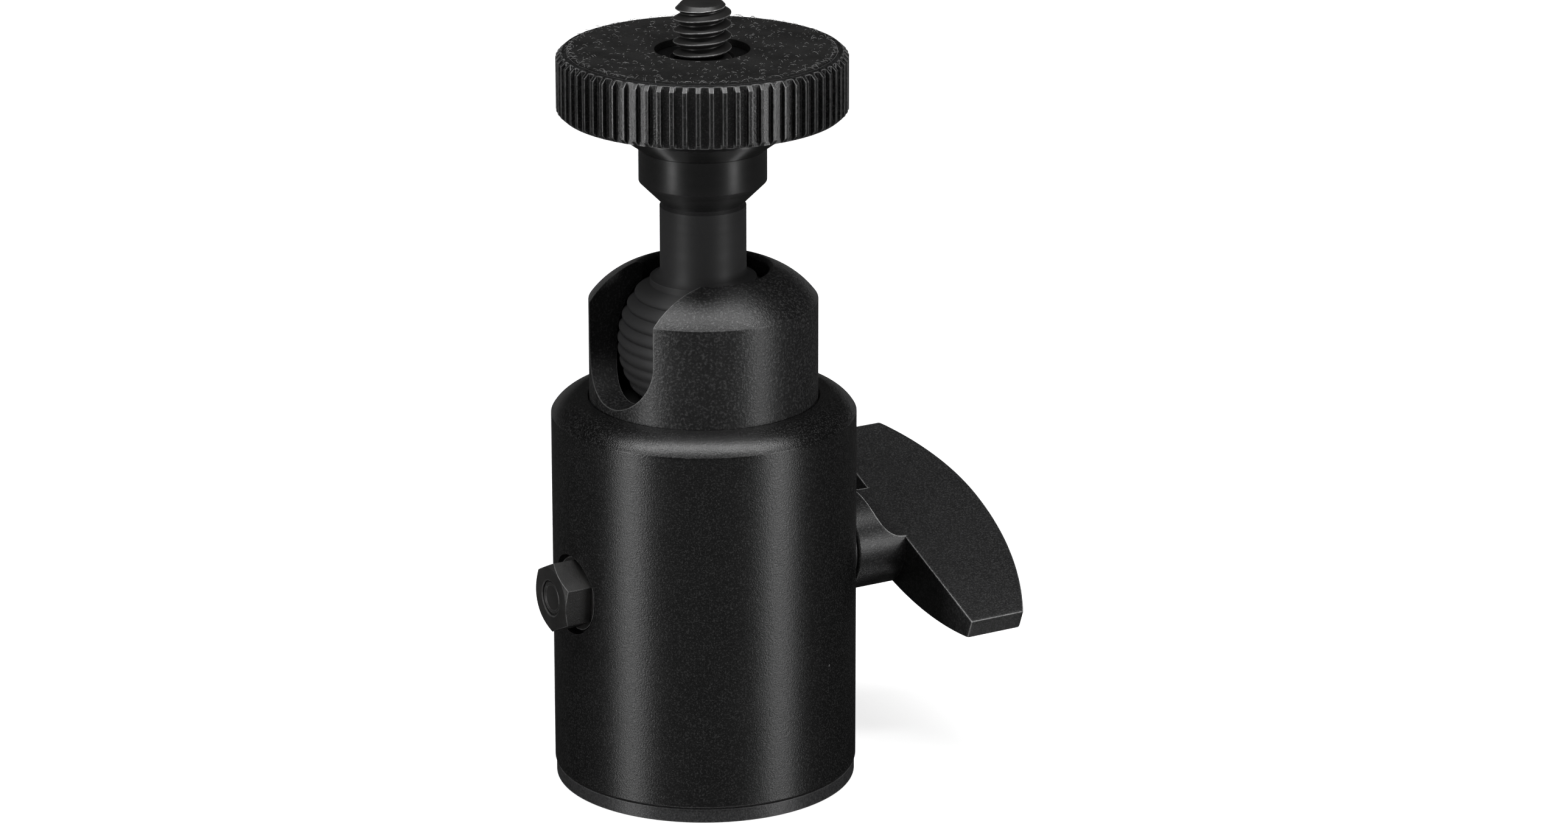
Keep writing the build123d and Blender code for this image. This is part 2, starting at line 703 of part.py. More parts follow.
# ---------------------------------------------------------------- files
pieces = {
    "housing": make_housing,
    "base_plate": make_base_plate,
    "reducer_bush": make_reducer_bush,
    "base_lock_screw": make_base_lock_screw,
    "pan_washer": make_pan_washer,
    "shaft_bush_nut_side": make_nut_side_bush,
    "shaft_bush_lever_side": make_lever_side_bush,
    "thrust_washer": make_thrust_washer,
    "panning_cup": make_cup,
    "ball_stem": make_ball_stem,
    "ball_seat": make_ball_seat,
    "plunger": make_plunger,
    "disc_springs": make_disc_springs,
    "cam_follower": make_cam_follower,
    "cross_shaft": make_cross_shaft,
    "lever_pin": make_lever_pin,
    "nut_washer": make_nut_washer,
    "shaft_nut": make_shaft_nut,
    "lever": make_lever,
    "camera_stud": make_camera_stud,
    "disc_hub": make_disc_hub,
    "knurled_disc": make_knurled_disc,
    "friction_pad": make_friction_pad,
}

if __name__ == "__main__":
    os.makedirs("parts", exist_ok=True)
    for name, make in pieces.items():
        export_step(make(), f"parts/{name}.step")
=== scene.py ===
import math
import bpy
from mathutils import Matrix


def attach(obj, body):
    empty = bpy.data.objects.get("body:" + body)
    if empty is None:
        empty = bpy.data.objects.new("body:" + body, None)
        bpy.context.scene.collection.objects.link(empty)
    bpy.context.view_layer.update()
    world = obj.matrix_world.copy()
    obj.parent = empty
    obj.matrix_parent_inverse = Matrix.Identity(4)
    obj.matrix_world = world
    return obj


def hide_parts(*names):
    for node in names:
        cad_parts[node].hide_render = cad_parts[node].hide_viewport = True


bl_info = {
    "name": "Tripod ball head",
    "version": (1, 0, 0),
    "blender": (4, 5, 0),
    "location": "3D View > Sidebar > Ball Head",
    "description": "Builds a small lever-locked tripod ball head around its packed frame",
    "category": "Add Mesh",
}

from contextlib import contextmanager
from functools import partialmethod

import bmesh
import bpy
from bpy.props import FloatProperty, FloatVectorProperty, IntProperty, PointerProperty
from mathutils import Matrix, Vector

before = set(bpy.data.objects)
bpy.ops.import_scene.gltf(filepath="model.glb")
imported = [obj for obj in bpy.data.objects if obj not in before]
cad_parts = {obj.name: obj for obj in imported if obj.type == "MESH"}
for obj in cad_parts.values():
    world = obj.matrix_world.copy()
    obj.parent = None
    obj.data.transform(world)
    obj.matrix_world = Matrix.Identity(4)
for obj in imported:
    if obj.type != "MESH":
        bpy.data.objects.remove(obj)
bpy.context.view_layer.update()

# Meshes are made in millimetres, and finish_piece brings them to metres.
MM = 0.001

# -------- heights up the body, mm
BASE_TOP = 1.7
LOCK_SCREW_Z = 5
SHAFT_Z = 23.5
CUP_BOTTOM = 37.65
SHOULDER_Z = 41.9
BALL_Z = 49.9
CUP_EDGE_Z = 54.7
CONE_Z = 65.5
COLLAR_Z = 68.1
COLLAR_TOP = 71.8
DISC_BOTTOM = 75.55
DISC_TOP = 82.4
PAD_BOTTOM = 81.8
PAD_TOP = 82.6
STUD_TIP = 87.9

# -------- places along the cross shaft, mm
NUT_FLOOR_X = -15.45
NUT_X = -16.0
NUT_END_X = -19.2
SPOTFACE_X = 15.9
LEVER_X = 16.7
WING_X = 22.6
APEX_X = 34.6

# -------- directions
QUARTER = math.pi / 2
LEVER_TILT = math.radians(21.6)
CAMERA_FRONT = Vector((-0.4752, -0.8218, 0)).normalized()
CAMERA_SIDE = Vector((0.8218, -0.4752, 0)).normalized()

WHITE = (1, 1, 1, 1)


# ======== what a user may change
def measure(name, millimetres, description):
    """A length in the panel."""
    return FloatProperty(name=name, description=description, default=millimetres * MM, unit="LENGTH")


def tint(name, colour, description):
    """A colour in the panel."""
    return FloatVectorProperty(
        name=name, description=description, default=colour, size=3, subtype="COLOR", min=0, max=1)


class HeadSizes(bpy.types.PropertyGroup):
    """Main sizes of the ball head."""

    body_radius: measure("Body radius", 16.7, "Outside radius of the housing")
    cup_radius: measure("Cup radius", 12.5, "Outside radius of the panning cup")
    ball_radius: measure("Ball radius", 9.4, "Radius of the ribbed ball")
    neck_radius: measure("Neck radius", 4.7, "Radius of the stem above the ball")
    collar_radius: measure("Collar radius", 6.95, "Radius of the stem's collar")
    disc_radius: measure("Disc radius", 15.75, "Outside radius of the lock disc")
    pad_radius: measure("Pad radius", 14.4, "Outside radius of the friction pad")
    stud_radius: measure("Screw radius", 3.14, "Outside radius of the camera screw")
    thread_pitch: measure("Thread pitch", 1.27, "Rise of the screw thread in one turn")
    edge_softness: measure("Edge softness", 0.12, "Width of the broken edges")
    knurl_count: IntProperty(
        name="Knurl grooves", description="Grooves round the lock disc", default=70, min=12)


class HeadFinish(bpy.types.PropertyGroup):
    """Colours of the ball head's finishes."""

    anodised: tint("Anodised", (0.0016, 0.0016, 0.00165), "Blasted black anodising")
    turned: tint("Turned", (0.0095, 0.0095, 0.0097), "Turned black anodising")
    lever: tint("Lever", (0.0085, 0.0085, 0.0087), "Satin black of the lever")
    black_steel: tint("Black steel", (0.020, 0.0196, 0.0192), "Oiled black oxide")
    pad: tint("Pad", (0.0142, 0.0140, 0.0138), "Black fibre of the pad")
    fibre: tint("Loose fibre", (0.16, 0.16, 0.16), "Light fibres that stand out of the pad")


def sizes():
    """The head's sizes by name, in millimetres, and the number of its knurl grooves."""
    group = bpy.context.scene.head_sizes
    found = {name: getattr(group, name) / MM for name in HeadSizes.__annotations__}
    found["knurl_count"] = group.knurl_count
    return found


def finish_colour(name):
    """One of the finish colours as four numbers."""
    return (*getattr(bpy.context.scene.head_finish, name), 1.0)


# ======== outlines
def arc(centre, radius, start_deg, end_deg, steps):
    """Points on an arc, its ends included."""
    points = []
    for step in range(steps + 1):
        angle = math.radians(start_deg + (end_deg - start_deg) * step / steps)
        points.append((centre[0] + radius * math.cos(angle), centre[1] + radius * math.sin(angle)))
    return points


def arc_centre(start, radius, start_deg):
    """The centre of an arc that leaves a point at that angle."""
    angle = math.radians(start_deg)
    return start[0] - radius * math.cos(angle), start[1] - radius * math.sin(angle)


def fillet(before, corner, after, radius, steps=4):
    """Points of a rounded corner between two straight runs."""
    corner, before, after = Vector(corner), Vector(before), Vector(after)
    to_before, to_after = (before - corner), (after - corner)
    half = to_before.angle(to_after) / 2
    if half > math.radians(89):
        return [tuple(corner)]
    reach = min(radius / math.tan(half), to_before.length * 0.49, to_after.length * 0.49)
    radius = reach * math.tan(half)
    bisector = (to_before.normalized() + to_after.normalized()).normalized()
    centre = corner + bisector * (radius / math.sin(half))
    start = corner + to_before.normalized() * reach - centre
    end = corner + to_after.normalized() * reach - centre
    start_deg, turn = math.degrees(math.atan2(start.y, start.x)), start.angle_signed(end)
    return arc(centre, radius, start_deg, start_deg - math.degrees(turn), steps)


def outline(*corners, closed=True):
    """An outline of (radius, height) points; a third number rounds that corner."""
    points = []
    count = len(corners)
    for index, corner in enumerate(corners):
        end = not closed and index in (0, count - 1)
        if len(corner) == 3 and not end:
            before, after = corners[index - 1][:2], corners[(index + 1) % count][:2]
            points += fillet(before, corner[:2], after, corner[2])
        else:
            points.append(tuple(corner[:2]))
    return points


# ======== meshes
def new_object(name, vertices, faces):
    """An object made of those faces, linked to the scene."""
    mesh = bpy.data.meshes.new(name)
    mesh.from_pydata(vertices, [], faces)
    made = bpy.data.objects.new(name, mesh)
    bpy.context.scene.collection.objects.link(made)
    return made


@contextmanager
def editing(made):
    """An object's mesh, open for bmesh work and written back afterwards."""
    work = bmesh.new()
    work.from_mesh(made.data)
    yield work
    work.to_mesh(made.data)
    work.free()


def face_outwards(made):
    """Point every face of a closed mesh outwards."""
    with editing(made) as work:
        bmesh.ops.recalc_face_normals(work, faces=work.faces)
    return made


def merge(made, distance=0.01):
    """Merge points that lie together."""
    with editing(made) as work:
        bmesh.ops.remove_doubles(work, verts=work.verts, dist=distance)
        bmesh.ops.dissolve_degenerate(work, edges=work.edges, dist=distance / 2)


def turned(name, *corners, segments=192, closed=True):
    """Turn an outline about the Z axis; a point on the axis becomes one pole."""
    vertices, rings = [], []
    for radius, height in outline(*corners, closed=closed):
        if radius < 1e-6:
            rings.append([len(vertices)])
            vertices.append((0, 0, height))
            continue
        rings.append(range(len(vertices), len(vertices) + segments))
        for step in range(segments):
            angle = math.tau * step / segments
            vertices.append((radius * math.cos(angle), radius * math.sin(angle), height))
    faces = []
    pairs = list(zip(rings, rings[1:]))
    if closed:
        pairs.append((rings[-1], rings[0]))
    for low, high in pairs:
        for step in range(segments):
            following = (step + 1) % segments
            if len(low) == 1:
                faces.append((low[0], high[following], high[step]))
            elif len(high) == 1:
                faces.append((low[step], low[following], high[0]))
            else:
                faces.append((low[step], low[following], high[following], high[step]))
    return face_outwards(new_object(name, vertices, faces))


def rod(radius, start, end, segments=96):
    """A plain rod about the Z axis, used to cut."""
    corners = (0, start), (radius, start), (radius, end), (0, end)
    return turned("cut", *corners, segments=segments, closed=False)


def skin(name, sections, capped=True):
    """Faces laid through a row of closed sections with equally many points."""
    tall, faces = len(sections[0]), []
    points = [point for section in sections for point in section]
    last = len(points) - tall
    for low in range(0, last, tall):
        for row in range(tall):
            following = (row + 1) % tall
            faces.append((low + row, low + tall + row, low + tall + following, low + following))
    if capped:
        faces += [tuple(range(tall)), tuple(range(last, last + tall))]
    made = new_object(name, points, faces)
    return face_outwards(made) if capped else made


def prism(name, side, length):
    """A bar with that (across, up) section, running from the Z axis out along +X."""
    return skin(name, [[(x, *point) for point in side] for x in (0, length)])


def place(made, *matrices):
    """Move a piece's mesh by a product of matrices, and leave its object at the origin."""
    product = Matrix.Identity(4)
    for matrix in matrices:
        product = product @ matrix
    made.data.transform(product)
    return made


def shift(x=0, y=0, z=0):
    """The matrix of a plain move."""
    return Matrix.Translation((x, y, z))


def spin(angle, axis):
    """The matrix of a turn about one axis through the origin."""
    return Matrix.Rotation(angle, 4, axis)


def along_shaft(made):
    """Lay a mesh made about the Z axis onto the cross shaft: its heights become X."""
    return place(made, shift(z=SHAFT_Z), spin(QUARTER, "Y"))


def lock_screw_hole(start):
    """Cutter for the lock screw's hole, from that far behind the axis out through the back."""
    return place(rod(1.52, start, 30, 48), shift(z=LOCK_SCREW_Z), spin(-QUARTER, "X"))


def drop(made):
    """Delete a helper object and its mesh."""
    mesh = made.data
    bpy.data.objects.remove(made)
    bpy.data.meshes.remove(mesh)


def apply_modifiers(made):
    """Turn a piece's modifiers into plain mesh."""
    graph = bpy.context.evaluated_depsgraph_get()
    mesh = bpy.data.meshes.new_from_object(made.evaluated_get(graph))
    old = made.data
    made.modifiers.clear()
    made.data = mesh
    mesh.name = made.name
    bpy.data.meshes.remove(old)
    return made


def combine(made, tools, operation="DIFFERENCE"):
    """Cut with, add or keep the overlap of helper objects, then delete them."""
    for tool in tools:
        modifier = made.modifiers.new("combine", "BOOLEAN")
        modifier.operation, modifier.object, modifier.solver = operation, tool, "EXACT"
    apply_modifiers(made)
    for tool in tools:
        drop(tool)


def join(name, first, *others):
    """Bring several meshes into the first one's, and name it."""
    with editing(first) as work:
        for piece in others:
            work.from_mesh(piece.data)
    for piece in others:
        drop(piece)
    first.name = first.data.name = name
    return first


def break_edges(made, width, angle_deg):
    """Bevel the edges that are sharper than an angle."""
    modifier = made.modifiers.new("edges", "BEVEL")
    modifier.width, modifier.segments = width, 2
    modifier.limit_method, modifier.angle_limit = "ANGLE", math.radians(angle_deg)
    modifier.use_clamp_overlap = True
    modifier.loop_slide = False
    apply_modifiers(made)


def cut(made, tools, width, angle_deg):
    """Cut a piece, clean it and bevel the new edges."""
    combine(made, tools)
    merge(made)
    break_edges(made, width, angle_deg)


def finish_piece(made, finish, body, slot, *nodes, smooth_deg=32):
    """Shade a piece, bring it to metres, give it its finish, tie it to its body and hide the solids it stands
    in for.
    """
    made.data.shade_smooth()
    made.data.set_sharp_from_angle(angle=math.radians(smooth_deg))
    modifier = made.modifiers.new("flat faces", "WEIGHTED_NORMAL")
    modifier.mode, modifier.weight, modifier.keep_sharp = "FACE_AREA", 50, True
    apply_modifiers(made)
    made.data.transform(Matrix.Scale(MM, 4))
    paint(made, finish)
    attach(made, body)
    if nodes:
        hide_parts(*nodes)


def paint(made, finish):
    """Give an object one finish."""
    made.data.materials.clear()
    made.data.materials.append(material(finish))


def paint_nodes(finish, *nodes):
    """Give carried-over solids their finish."""
    for node in nodes:
        paint(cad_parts[node], finish)


# ======== node trees
class Nodes:
    """Builds a node tree. Underscores in the names of inputs stand for spaces."""

    def __init__(self, tree):
        self.tree = tree

    def connect(self, socket, value):
        """Link a socket to a node or to one of its outputs, or write its value."""
        if isinstance(value, bpy.types.Node):
            value = value.outputs[0]
        if isinstance(value, bpy.types.NodeSocket):
            self.tree.links.new(value, socket)
        else:
            socket.default_value = value

    def fill(self, node, **values):
        """Set or link a node's inputs by name."""
        for key, value in values.items():
            self.connect(node.inputs[key.replace("_", " ")], value)
        return node

    def add(self, kind, settings=None, *places, **values):
        """A node with its settings, and with inputs set or linked by place or by name."""
        made = self.tree.nodes.new(kind)
        for key, value in (settings or {}).items():
            setattr(made, key, value)
        for index, value in enumerate(places):
            self.connect(made.inputs[index], value)
        return self.fill(made, **values)

    def calc(self, operation, *values):
        """A math node."""
        return self.add("ShaderNodeMath", {"operation": operation}, *values)

    plus = partialmethod(calc, "ADD")
    minus = partialmethod(calc, "SUBTRACT")
    times = partialmethod(calc, "MULTIPLY")
    over = partialmethod(calc, "DIVIDE")

    def vector(self, operation, *values, **named):
        """A vector math node."""
        return self.add("ShaderNodeVectorMath", {"operation": operation}, *values, **named)

    def where(self):
        """The object's own coordinates."""
        return self.add("ShaderNodeTexCoord").outputs["Object"]

    def split(self, vector):
        """A vector's three parts."""
        return self.add("ShaderNodeSeparateXYZ", None, vector).outputs

    def blend(self, share, low, high):
        """A colour between two, by share."""
        made = self.add("ShaderNodeMix", {"data_type": "RGBA"})
        for index, value in ((0, share), (6, low), (7, high)):
            self.connect(made.inputs[index], value)
        return made.outputs[2]

    def lay(self, under, mask, share, over):
        """Lay one colour over another through a share of a mask."""
        return self.blend(self.times(mask, share), under, over)

    def span(self, value, low, high, to_low=0.0, to_high=1.0):
        """Maps a value's span onto another, smoothly, and clamps it."""
        return self.add(
            "ShaderNodeMapRange", {"interpolation_type": "SMOOTHSTEP"}, value, low, high, to_low, to_high)

    def noise(self, where, scale, detail=2.0, roughness=0.5):
        return self.add("ShaderNodeTexNoise", Vector=where, Scale=scale, Detail=detail, Roughness=roughness)

    def cells(self, where, size):
        """Random cells of about that size."""
        return self.add(
            "ShaderNodeTexVoronoi", {"feature": "F1"}, Vector=where, Scale=self.over(1.0, size))


class Group(Nodes):
    """A node group. Each socket is given its default value, or the name of its type."""

    kinds = {int: "NodeSocketInt", float: "NodeSocketFloat"}

    def __init__(self, name, kind, inputs, outputs):
        super().__init__(bpy.data.node_groups.new(name, kind))
        self.keys = {}
        for way, sockets in (("OUTPUT", outputs), ("INPUT", inputs)):
            for label, value in sockets.items():
                socket = self.tree.interface.new_socket(
                    label.replace("_", " "), in_out=way, socket_type=self.kinds.get(type(value), value))
                if type(value) in self.kinds:
                    socket.default_value = value
                self.keys[label] = socket.identifier
        self.start = self.tree.nodes.new("NodeGroupInput")
        self.end = self.tree.nodes.new("NodeGroupOutput")

    def read(self, label):
        return self.start.outputs[label]


# ======== geometry trees
class Tree(Group):
    """A geometry node group that ends in one material."""

    def __init__(self, name, **inputs):
        super().__init__(
            name, "GeometryNodeTree",
            {"Geometry": "NodeSocketGeometry", **inputs, "Material": "NodeSocketMaterial"},
            {"Geometry": "NodeSocketGeometry"})

    def close(self, geometry):
        """Realize what is instanced, set the material and end the tree."""
        real = self.add("GeometryNodeRealizeInstances", Geometry=geometry)
        painted = self.add("GeometryNodeSetMaterial", Geometry=real, Material=self.read("Material"))
        self.fill(self.end, Geometry=painted)
        return self

    def run(self, made, finish, **values):
        """Run the tree on an object and keep the result as its plain mesh."""
        modifier = made.modifiers.new(self.tree.name, "NODES")
        modifier.node_group = self.tree
        for label, value in values.items():
            modifier[self.keys[label]] = value
        modifier[self.keys["Material"]] = material(finish)
        return apply_modifiers(made)


def thread_tree():
    """Helical thread: one strip that climbs one pitch a turn, clipped by a bevelled tip."""
    made = Tree(
        "Screw Thread", Pitch=1.27, Outer_Radius=3.14, Root_Radius=2.45, Bottom=80.0, Top=87.7, Start=0.0,
        Tip_Radius=2.3, Tip_Height=0.9, Turns=8, Segments=96)
    calc, plus, minus, times, over = made.calc, made.plus, made.minus, made.times, made.over
    read = made.read
    outer, root, tip = read("Outer Radius"), read("Root Radius"), read("Tip Radius")
    bottom, top = read("Bottom"), read("Top")
    rows = 33
    columns = plus(times(read("Turns"), read("Segments")), 1)
    grid = made.add("GeometryNodeMeshGrid", Size_X=1.0, Size_Y=1.0, Vertices_X=columns, Vertices_Y=rows)
    parts = made.split(made.add("GeometryNodeInputPosition"))
    along, across = plus(parts[0], 0.5), plus(parts[1], 0.5)
    turns = times(along, read("Turns"))
    angle = times(turns, math.tau)
    climb = plus(times(plus(turns, across), read("Pitch")), read("Start"))
    height = calc("MAXIMUM", calc("MINIMUM", climb, top), bottom)
    # across one pitch: root flat, flank, crest flat, flank, root flat
    flank_foot, flank_width = 0.445, 0.40
    rise = over(minus(flank_foot, calc("ABSOLUTE", minus(across, 0.5))), flank_width)
    share = calc("MAXIMUM", calc("MINIMUM", rise, 1.0), 0.0)
    full = plus(root, times(share, minus(outer, root)))
    # the tip's bevel: how far below the top, as a share of the bevel's height
    below = over(minus(top, height), read("Tip Height"))
    cone = plus(tip, times(below, minus(outer, tip)))
    # the strip's lowest points close onto the root
    at_bottom = calc("LESS_THAN", height, plus(bottom, 0.0005))
    ridge = times(minus(1.0, at_bottom), calc("MINIMUM", full, cone))
    radius = plus(times(at_bottom, root), ridge)
    where = made.add(
        "ShaderNodeCombineXYZ", None, times(radius, calc("COSINE", angle)),
        times(radius, calc("SINE", angle)), height)
    moved = made.add("GeometryNodeSetPosition", Geometry=grid, Position=where)
    # the strip's link has to come before the shank's
    joined = made.add("GeometryNodeJoinGeometry", Geometry=moved)
    made.fill(joined, Geometry=read("Geometry"))
    return made.close(made.add("GeometryNodeMergeByDistance", Geometry=joined, Distance=0.004))


def round_pattern_tree():
    """Repeats the piece it is given round the Z axis and joins the copies."""
    made = Tree("Round Pattern", Count=70, Merge_Distance=0.002)
    count = made.read("Count")
    points = made.add("GeometryNodeMeshLine", {"mode": "OFFSET"}, Count=count, Offset=(0, 0, 0))
    index = made.add("GeometryNodeInputIndex")
    angle = made.over(made.times(index, math.tau), count)
    copies = made.add(
        "GeometryNodeInstanceOnPoints", Points=points, Instance=made.read("Geometry"),
        Rotation=made.add("ShaderNodeCombineXYZ", Z=angle))
    real = made.add("GeometryNodeRealizeInstances", Geometry=copies)
    return made.close(made.add(
        "GeometryNodeMergeByDistance", Geometry=real, Distance=made.read("Merge Distance")))


def fibre_tree():
    """Scatters short bent fibres over the surface it is given, lying nearly flat on it."""
    made = Tree("Loose Fibres", Density=1.0, Length=0.8, Thickness=0.02, Lift=0.3, Seed=3)
    length, lift, seed = made.read("Length"), made.read("Lift"), made.read("Seed")
    points = made.add(
        "GeometryNodeDistributePointsOnFaces", {"distribute_method": "RANDOM"}, Mesh=made.read("Geometry"),
        Density=made.read("Density"), Seed=seed)
    bend = made.add(
        "GeometryNodeCurvePrimitiveBezierSegment", Resolution=5, Start=(-0.5, 0, 0),
        Start_Handle=(-0.2, 0.25, 0.1), End_Handle=(0.2, -0.1, 0.35), End=(0.5, 0.1, 0.02))
    section = made.add(
        "GeometryNodeCurvePrimitiveCircle", {"mode": "RADIUS"}, Resolution=4,
        Radius=made.over(made.read("Thickness"), length))
    hair = made.add("GeometryNodeCurveToMesh", Curve=bend, Profile_Curve=section)
    down = made.times(lift, -1.0)
    turn = made.add(
        "FunctionNodeRandomValue", {"data_type": "FLOAT_VECTOR"},
        made.add("ShaderNodeCombineXYZ", None, down, down, 0.0),
        made.add("ShaderNodeCombineXYZ", None, lift, lift, math.tau), Seed=seed)
    size = made.add("FunctionNodeRandomValue", {"data_type": "FLOAT"}, Seed=made.plus(seed, 1))
    for index, value in ((2, made.times(length, 0.35)), (3, length)):
        made.connect(size.inputs[index], value)
    return made.close(made.add(
        "GeometryNodeInstanceOnPoints", Points=points, Instance=hair, Rotation=turn, Scale=size.outputs[1]))


# ======== shared shader groups
def shader_group(name, inputs, *outputs):
    """An empty shader group with named number sockets."""
    return Group(name, "ShaderNodeTree", inputs, dict.fromkeys(outputs, "NodeSocketFloat"))


def grain_group():
    """Fine blasted grain, with small bright specks and a slow mottle."""
    made = shader_group(
        "Blasted Grain", {"Grain_Size": 0.00012, "Speck_Size": 0.00022, "Speck_Share": 0.5},
        "Height", "Specks", "Mottle")
    where = made.where()
    fine = made.noise(where, made.over(1.0, made.read("Grain Size")), 3.0, 0.6)
    cells = made.cells(where, made.read("Speck Size"))
    dot = made.span(cells.outputs["Distance"], 0.42, 0.12)
    chance = made.add("ShaderNodeSeparateColor", None, cells.outputs["Color"])
    lucky = made.calc("GREATER_THAN", chance, made.minus(1.0, made.read("Speck Share")))
    slow = made.noise(where, 260.0, 3.0, 0.55)
    made.fill(made.end, Height=fine, Specks=made.times(dot, lucky), Mottle=slow)


def edge_wear_and_highlight_group():
    """Where an outer edge has lost some of its colour, and where a painted highlight lightens it."""
    made = shader_group("Edge Wear", {"Radius": 0.0002, "Low": 0.02, "High": 0.12}, "Mask")
    soft = made.add("ShaderNodeBevel", {"samples": 6}, Radius=made.read("Radius"))
    true = made.add("ShaderNodeNewGeometry").outputs["Normal"]
    bent = made.minus(1.0, made.vector("DOT_PRODUCT", soft, true).outputs["Value"])
    open_air = made.add("ShaderNodeAmbientOcclusion", {"samples": 4, "only_local": True}, Distance=0.0008)
    outer = made.span(open_air.outputs["AO"], 0.72, 0.92)
    mask = made.times(outer, made.span(bent, made.read("Low"), made.read("High")))
    broken = made.span(made.noise(made.where(), 1600.0, 3.0, 0.6), 0.25, 0.6, 0.35, 1.0)
    made.fill(made.end, Mask=made.times(mask, broken))


def turning_group():
    """Fine rings left by the lathe about the Z axis."""
    made = shader_group("Turning Marks", {"Ring_Width": 0.00008}, "Height", "Tone")
    x, y, z = made.split(made.where())
    across = made.calc("SQRT", made.plus(made.calc("POWER", x, 2.0), made.calc("POWER", y, 2.0)))
    ring = made.add("ShaderNodeCombineXYZ", None, across, 0.0, z)
    lines = made.noise(ring, made.over(1.0, made.read("Ring Width")), 2.0, 0.7)
    made.fill(made.end, Height=lines, Tone=made.noise(ring, 900.0))


def dust_group():
    """A few specks of dust and lint."""
    made = shader_group("Dust", {"Spacing": 0.0016, "Share": 0.2}, "Mask")
    where = made.where()
    bent = made.noise(where, 900.0, 1.0)
    moved = made.vector("ADD", where, made.vector("SCALE", bent.outputs["Color"], Scale=0.0004))
    cells = made.cells(moved, made.read("Spacing"))
    chance = made.add("ShaderNodeSeparateColor", None, cells.outputs["Color"]).outputs
    dot = made.calc("LESS_THAN", cells.outputs["Distance"], made.span(chance[1], 0.0, 1.0, 0.02, 0.05))
    made.fill(made.end, Mask=made.times(dot, made.calc("LESS_THAN", chance[0], made.read("Share"))))


# ======== finishes
def grey(value):
    return (value, value, value, 1)


def shade(colour, share, more=0.0):
    """A colour made darker or lighter, but not past white."""
    return (*(min(1.0, value * share + more) for value in colour[:3]), 1)


def nodes_of(made):
    """The node tree of a new material or world."""
    made.use_nodes = True
    return made.node_tree


class Finish(Nodes):
    """One of the head's finishes, built round its Principled shader."""

    def __init__(self, name, roughness, anisotropic=0.0, **sockets):
        super().__init__(nodes_of(bpy.data.materials.new(name)))
        self.shader = self.tree.nodes["Principled BSDF"]
        self.out(Roughness=roughness, **sockets)
        if anisotropic:
            self.out(
                Anisotropic=anisotropic, Anisotropic_Rotation=0.25,
                Tangent=self.add("ShaderNodeTangent", {"direction_type": "RADIAL", "axis": "Z"}))

    def out(self, **values):
        """Send values to the Principled shader."""
        self.fill(self.shader, **values)

    def group(self, name, **values):
        """One of the shared groups, with its own values."""
        return self.add("ShaderNodeGroup", {"node_tree": bpy.data.node_groups[name]}, **values)

    def bump(self, height, strength, distance=0.00002):
        self.out(Normal=self.add("ShaderNodeBump", Height=height, Strength=strength, Distance=distance))


def blasted(name, colour, light, roughness, edge=0.6, lines=0.25, anisotropic=0.7, smooth_above=None,
            smoother=0.075, grain_size=0.00018, strength=0.7, bare_and_highlight=None, sparkle=0.38, **sockets):
    """Black anodising over a fine blasted and turned surface, worn to a bare colour on its edges, with a
    painted highlight along them.
    """
    made = Finish(name, roughness, anisotropic, **sockets)
    grain = made.group("Blasted Grain", Grain_Size=grain_size, Speck_Size=0.00024, Speck_Share=0.30)
    height, specks, mottle = grain.outputs
    rings = made.group("Turning Marks", Ring_Width=0.00007)
    wear_and_highlight = made.group("Edge Wear", Radius=0.00024)
    dust = made.group("Dust", Spacing=0.0024, Share=0.10)
    base = made.blend(made.span(mottle, 0.3, 0.7), colour, shade(colour, 1.35))
    patchy = made.blend(made.span(height, 0.35, 0.7), base, shade(colour, 3.5))
    flecked = made.lay(patchy, specks, 0.22, light)
    # lighter edges: partly wear, partly a painted highlight
    rubbed_and_highlit = made.lay(flecked, wear_and_highlight, edge, bare_and_highlight or light)
    dusty = made.lay(rubbed_and_highlit, dust, 0.6, grey(0.4))
    # the highest grains are bare metal and glint
    glint = made.times(made.span(height, 0.52, 0.68), sparkle)
    rough = made.span(mottle, 0.25, 0.75, roughness - 0.012, roughness + 0.016)
    if smooth_above:
        z = made.split(made.where())[2]
        polish = made.span(z, smooth_above - 0.0004, smooth_above, 0.0, smoother)
        rough = made.minus(rough, polish)
    made.out(Metallic=glint, Base_Color=made.blend(glint, dusty, grey(0.16)), Roughness=rough)
    made.bump(made.plus(height, made.times(rings, lines)), strength, 0.00004)


def smooth_turned(name, colour, light, roughness, strength=0.3, matte_below=None, **sockets):
    """Turned metal with fine rings."""
    made = Finish(name, roughness, **sockets)
    lines, tone = made.group("Turning Marks", Ring_Width=0.00009).outputs
    grain = made.group("Blasted Grain", Grain_Size=0.00009, Speck_Size=0.00025, Speck_Share=0.12)
    wear_and_highlight = made.group("Edge Wear", Radius=0.00018, High=0.14)
    dust = made.group("Dust", Spacing=0.0026, Share=0.12)
    base = made.blend(made.span(tone, 0.3, 0.7), colour, shade(colour, 1.3))
    rough = made.span(tone, 0.25, 0.75, roughness - 0.04, roughness + 0.04)
    if matte_below:
        z = made.split(made.where())[2]
        matte = made.span(z, matte_below + 0.0002, matte_below)
        base = made.blend(matte, base, shade(colour, 3.7))
        rough = made.plus(rough, made.times(matte, 0.16))
    flecked = made.lay(base, grain.outputs["Specks"], 0.08, light)
    # lighter edges: partly wear, partly a painted highlight
    rubbed_and_highlit = made.lay(flecked, wear_and_highlight, 0.5, light)
    made.out(Base_Color=made.lay(rubbed_and_highlit, dust, 0.5, grey(0.4)), Roughness=rough)
    made.bump(made.plus(lines, made.times(grain, 0.4)), strength)


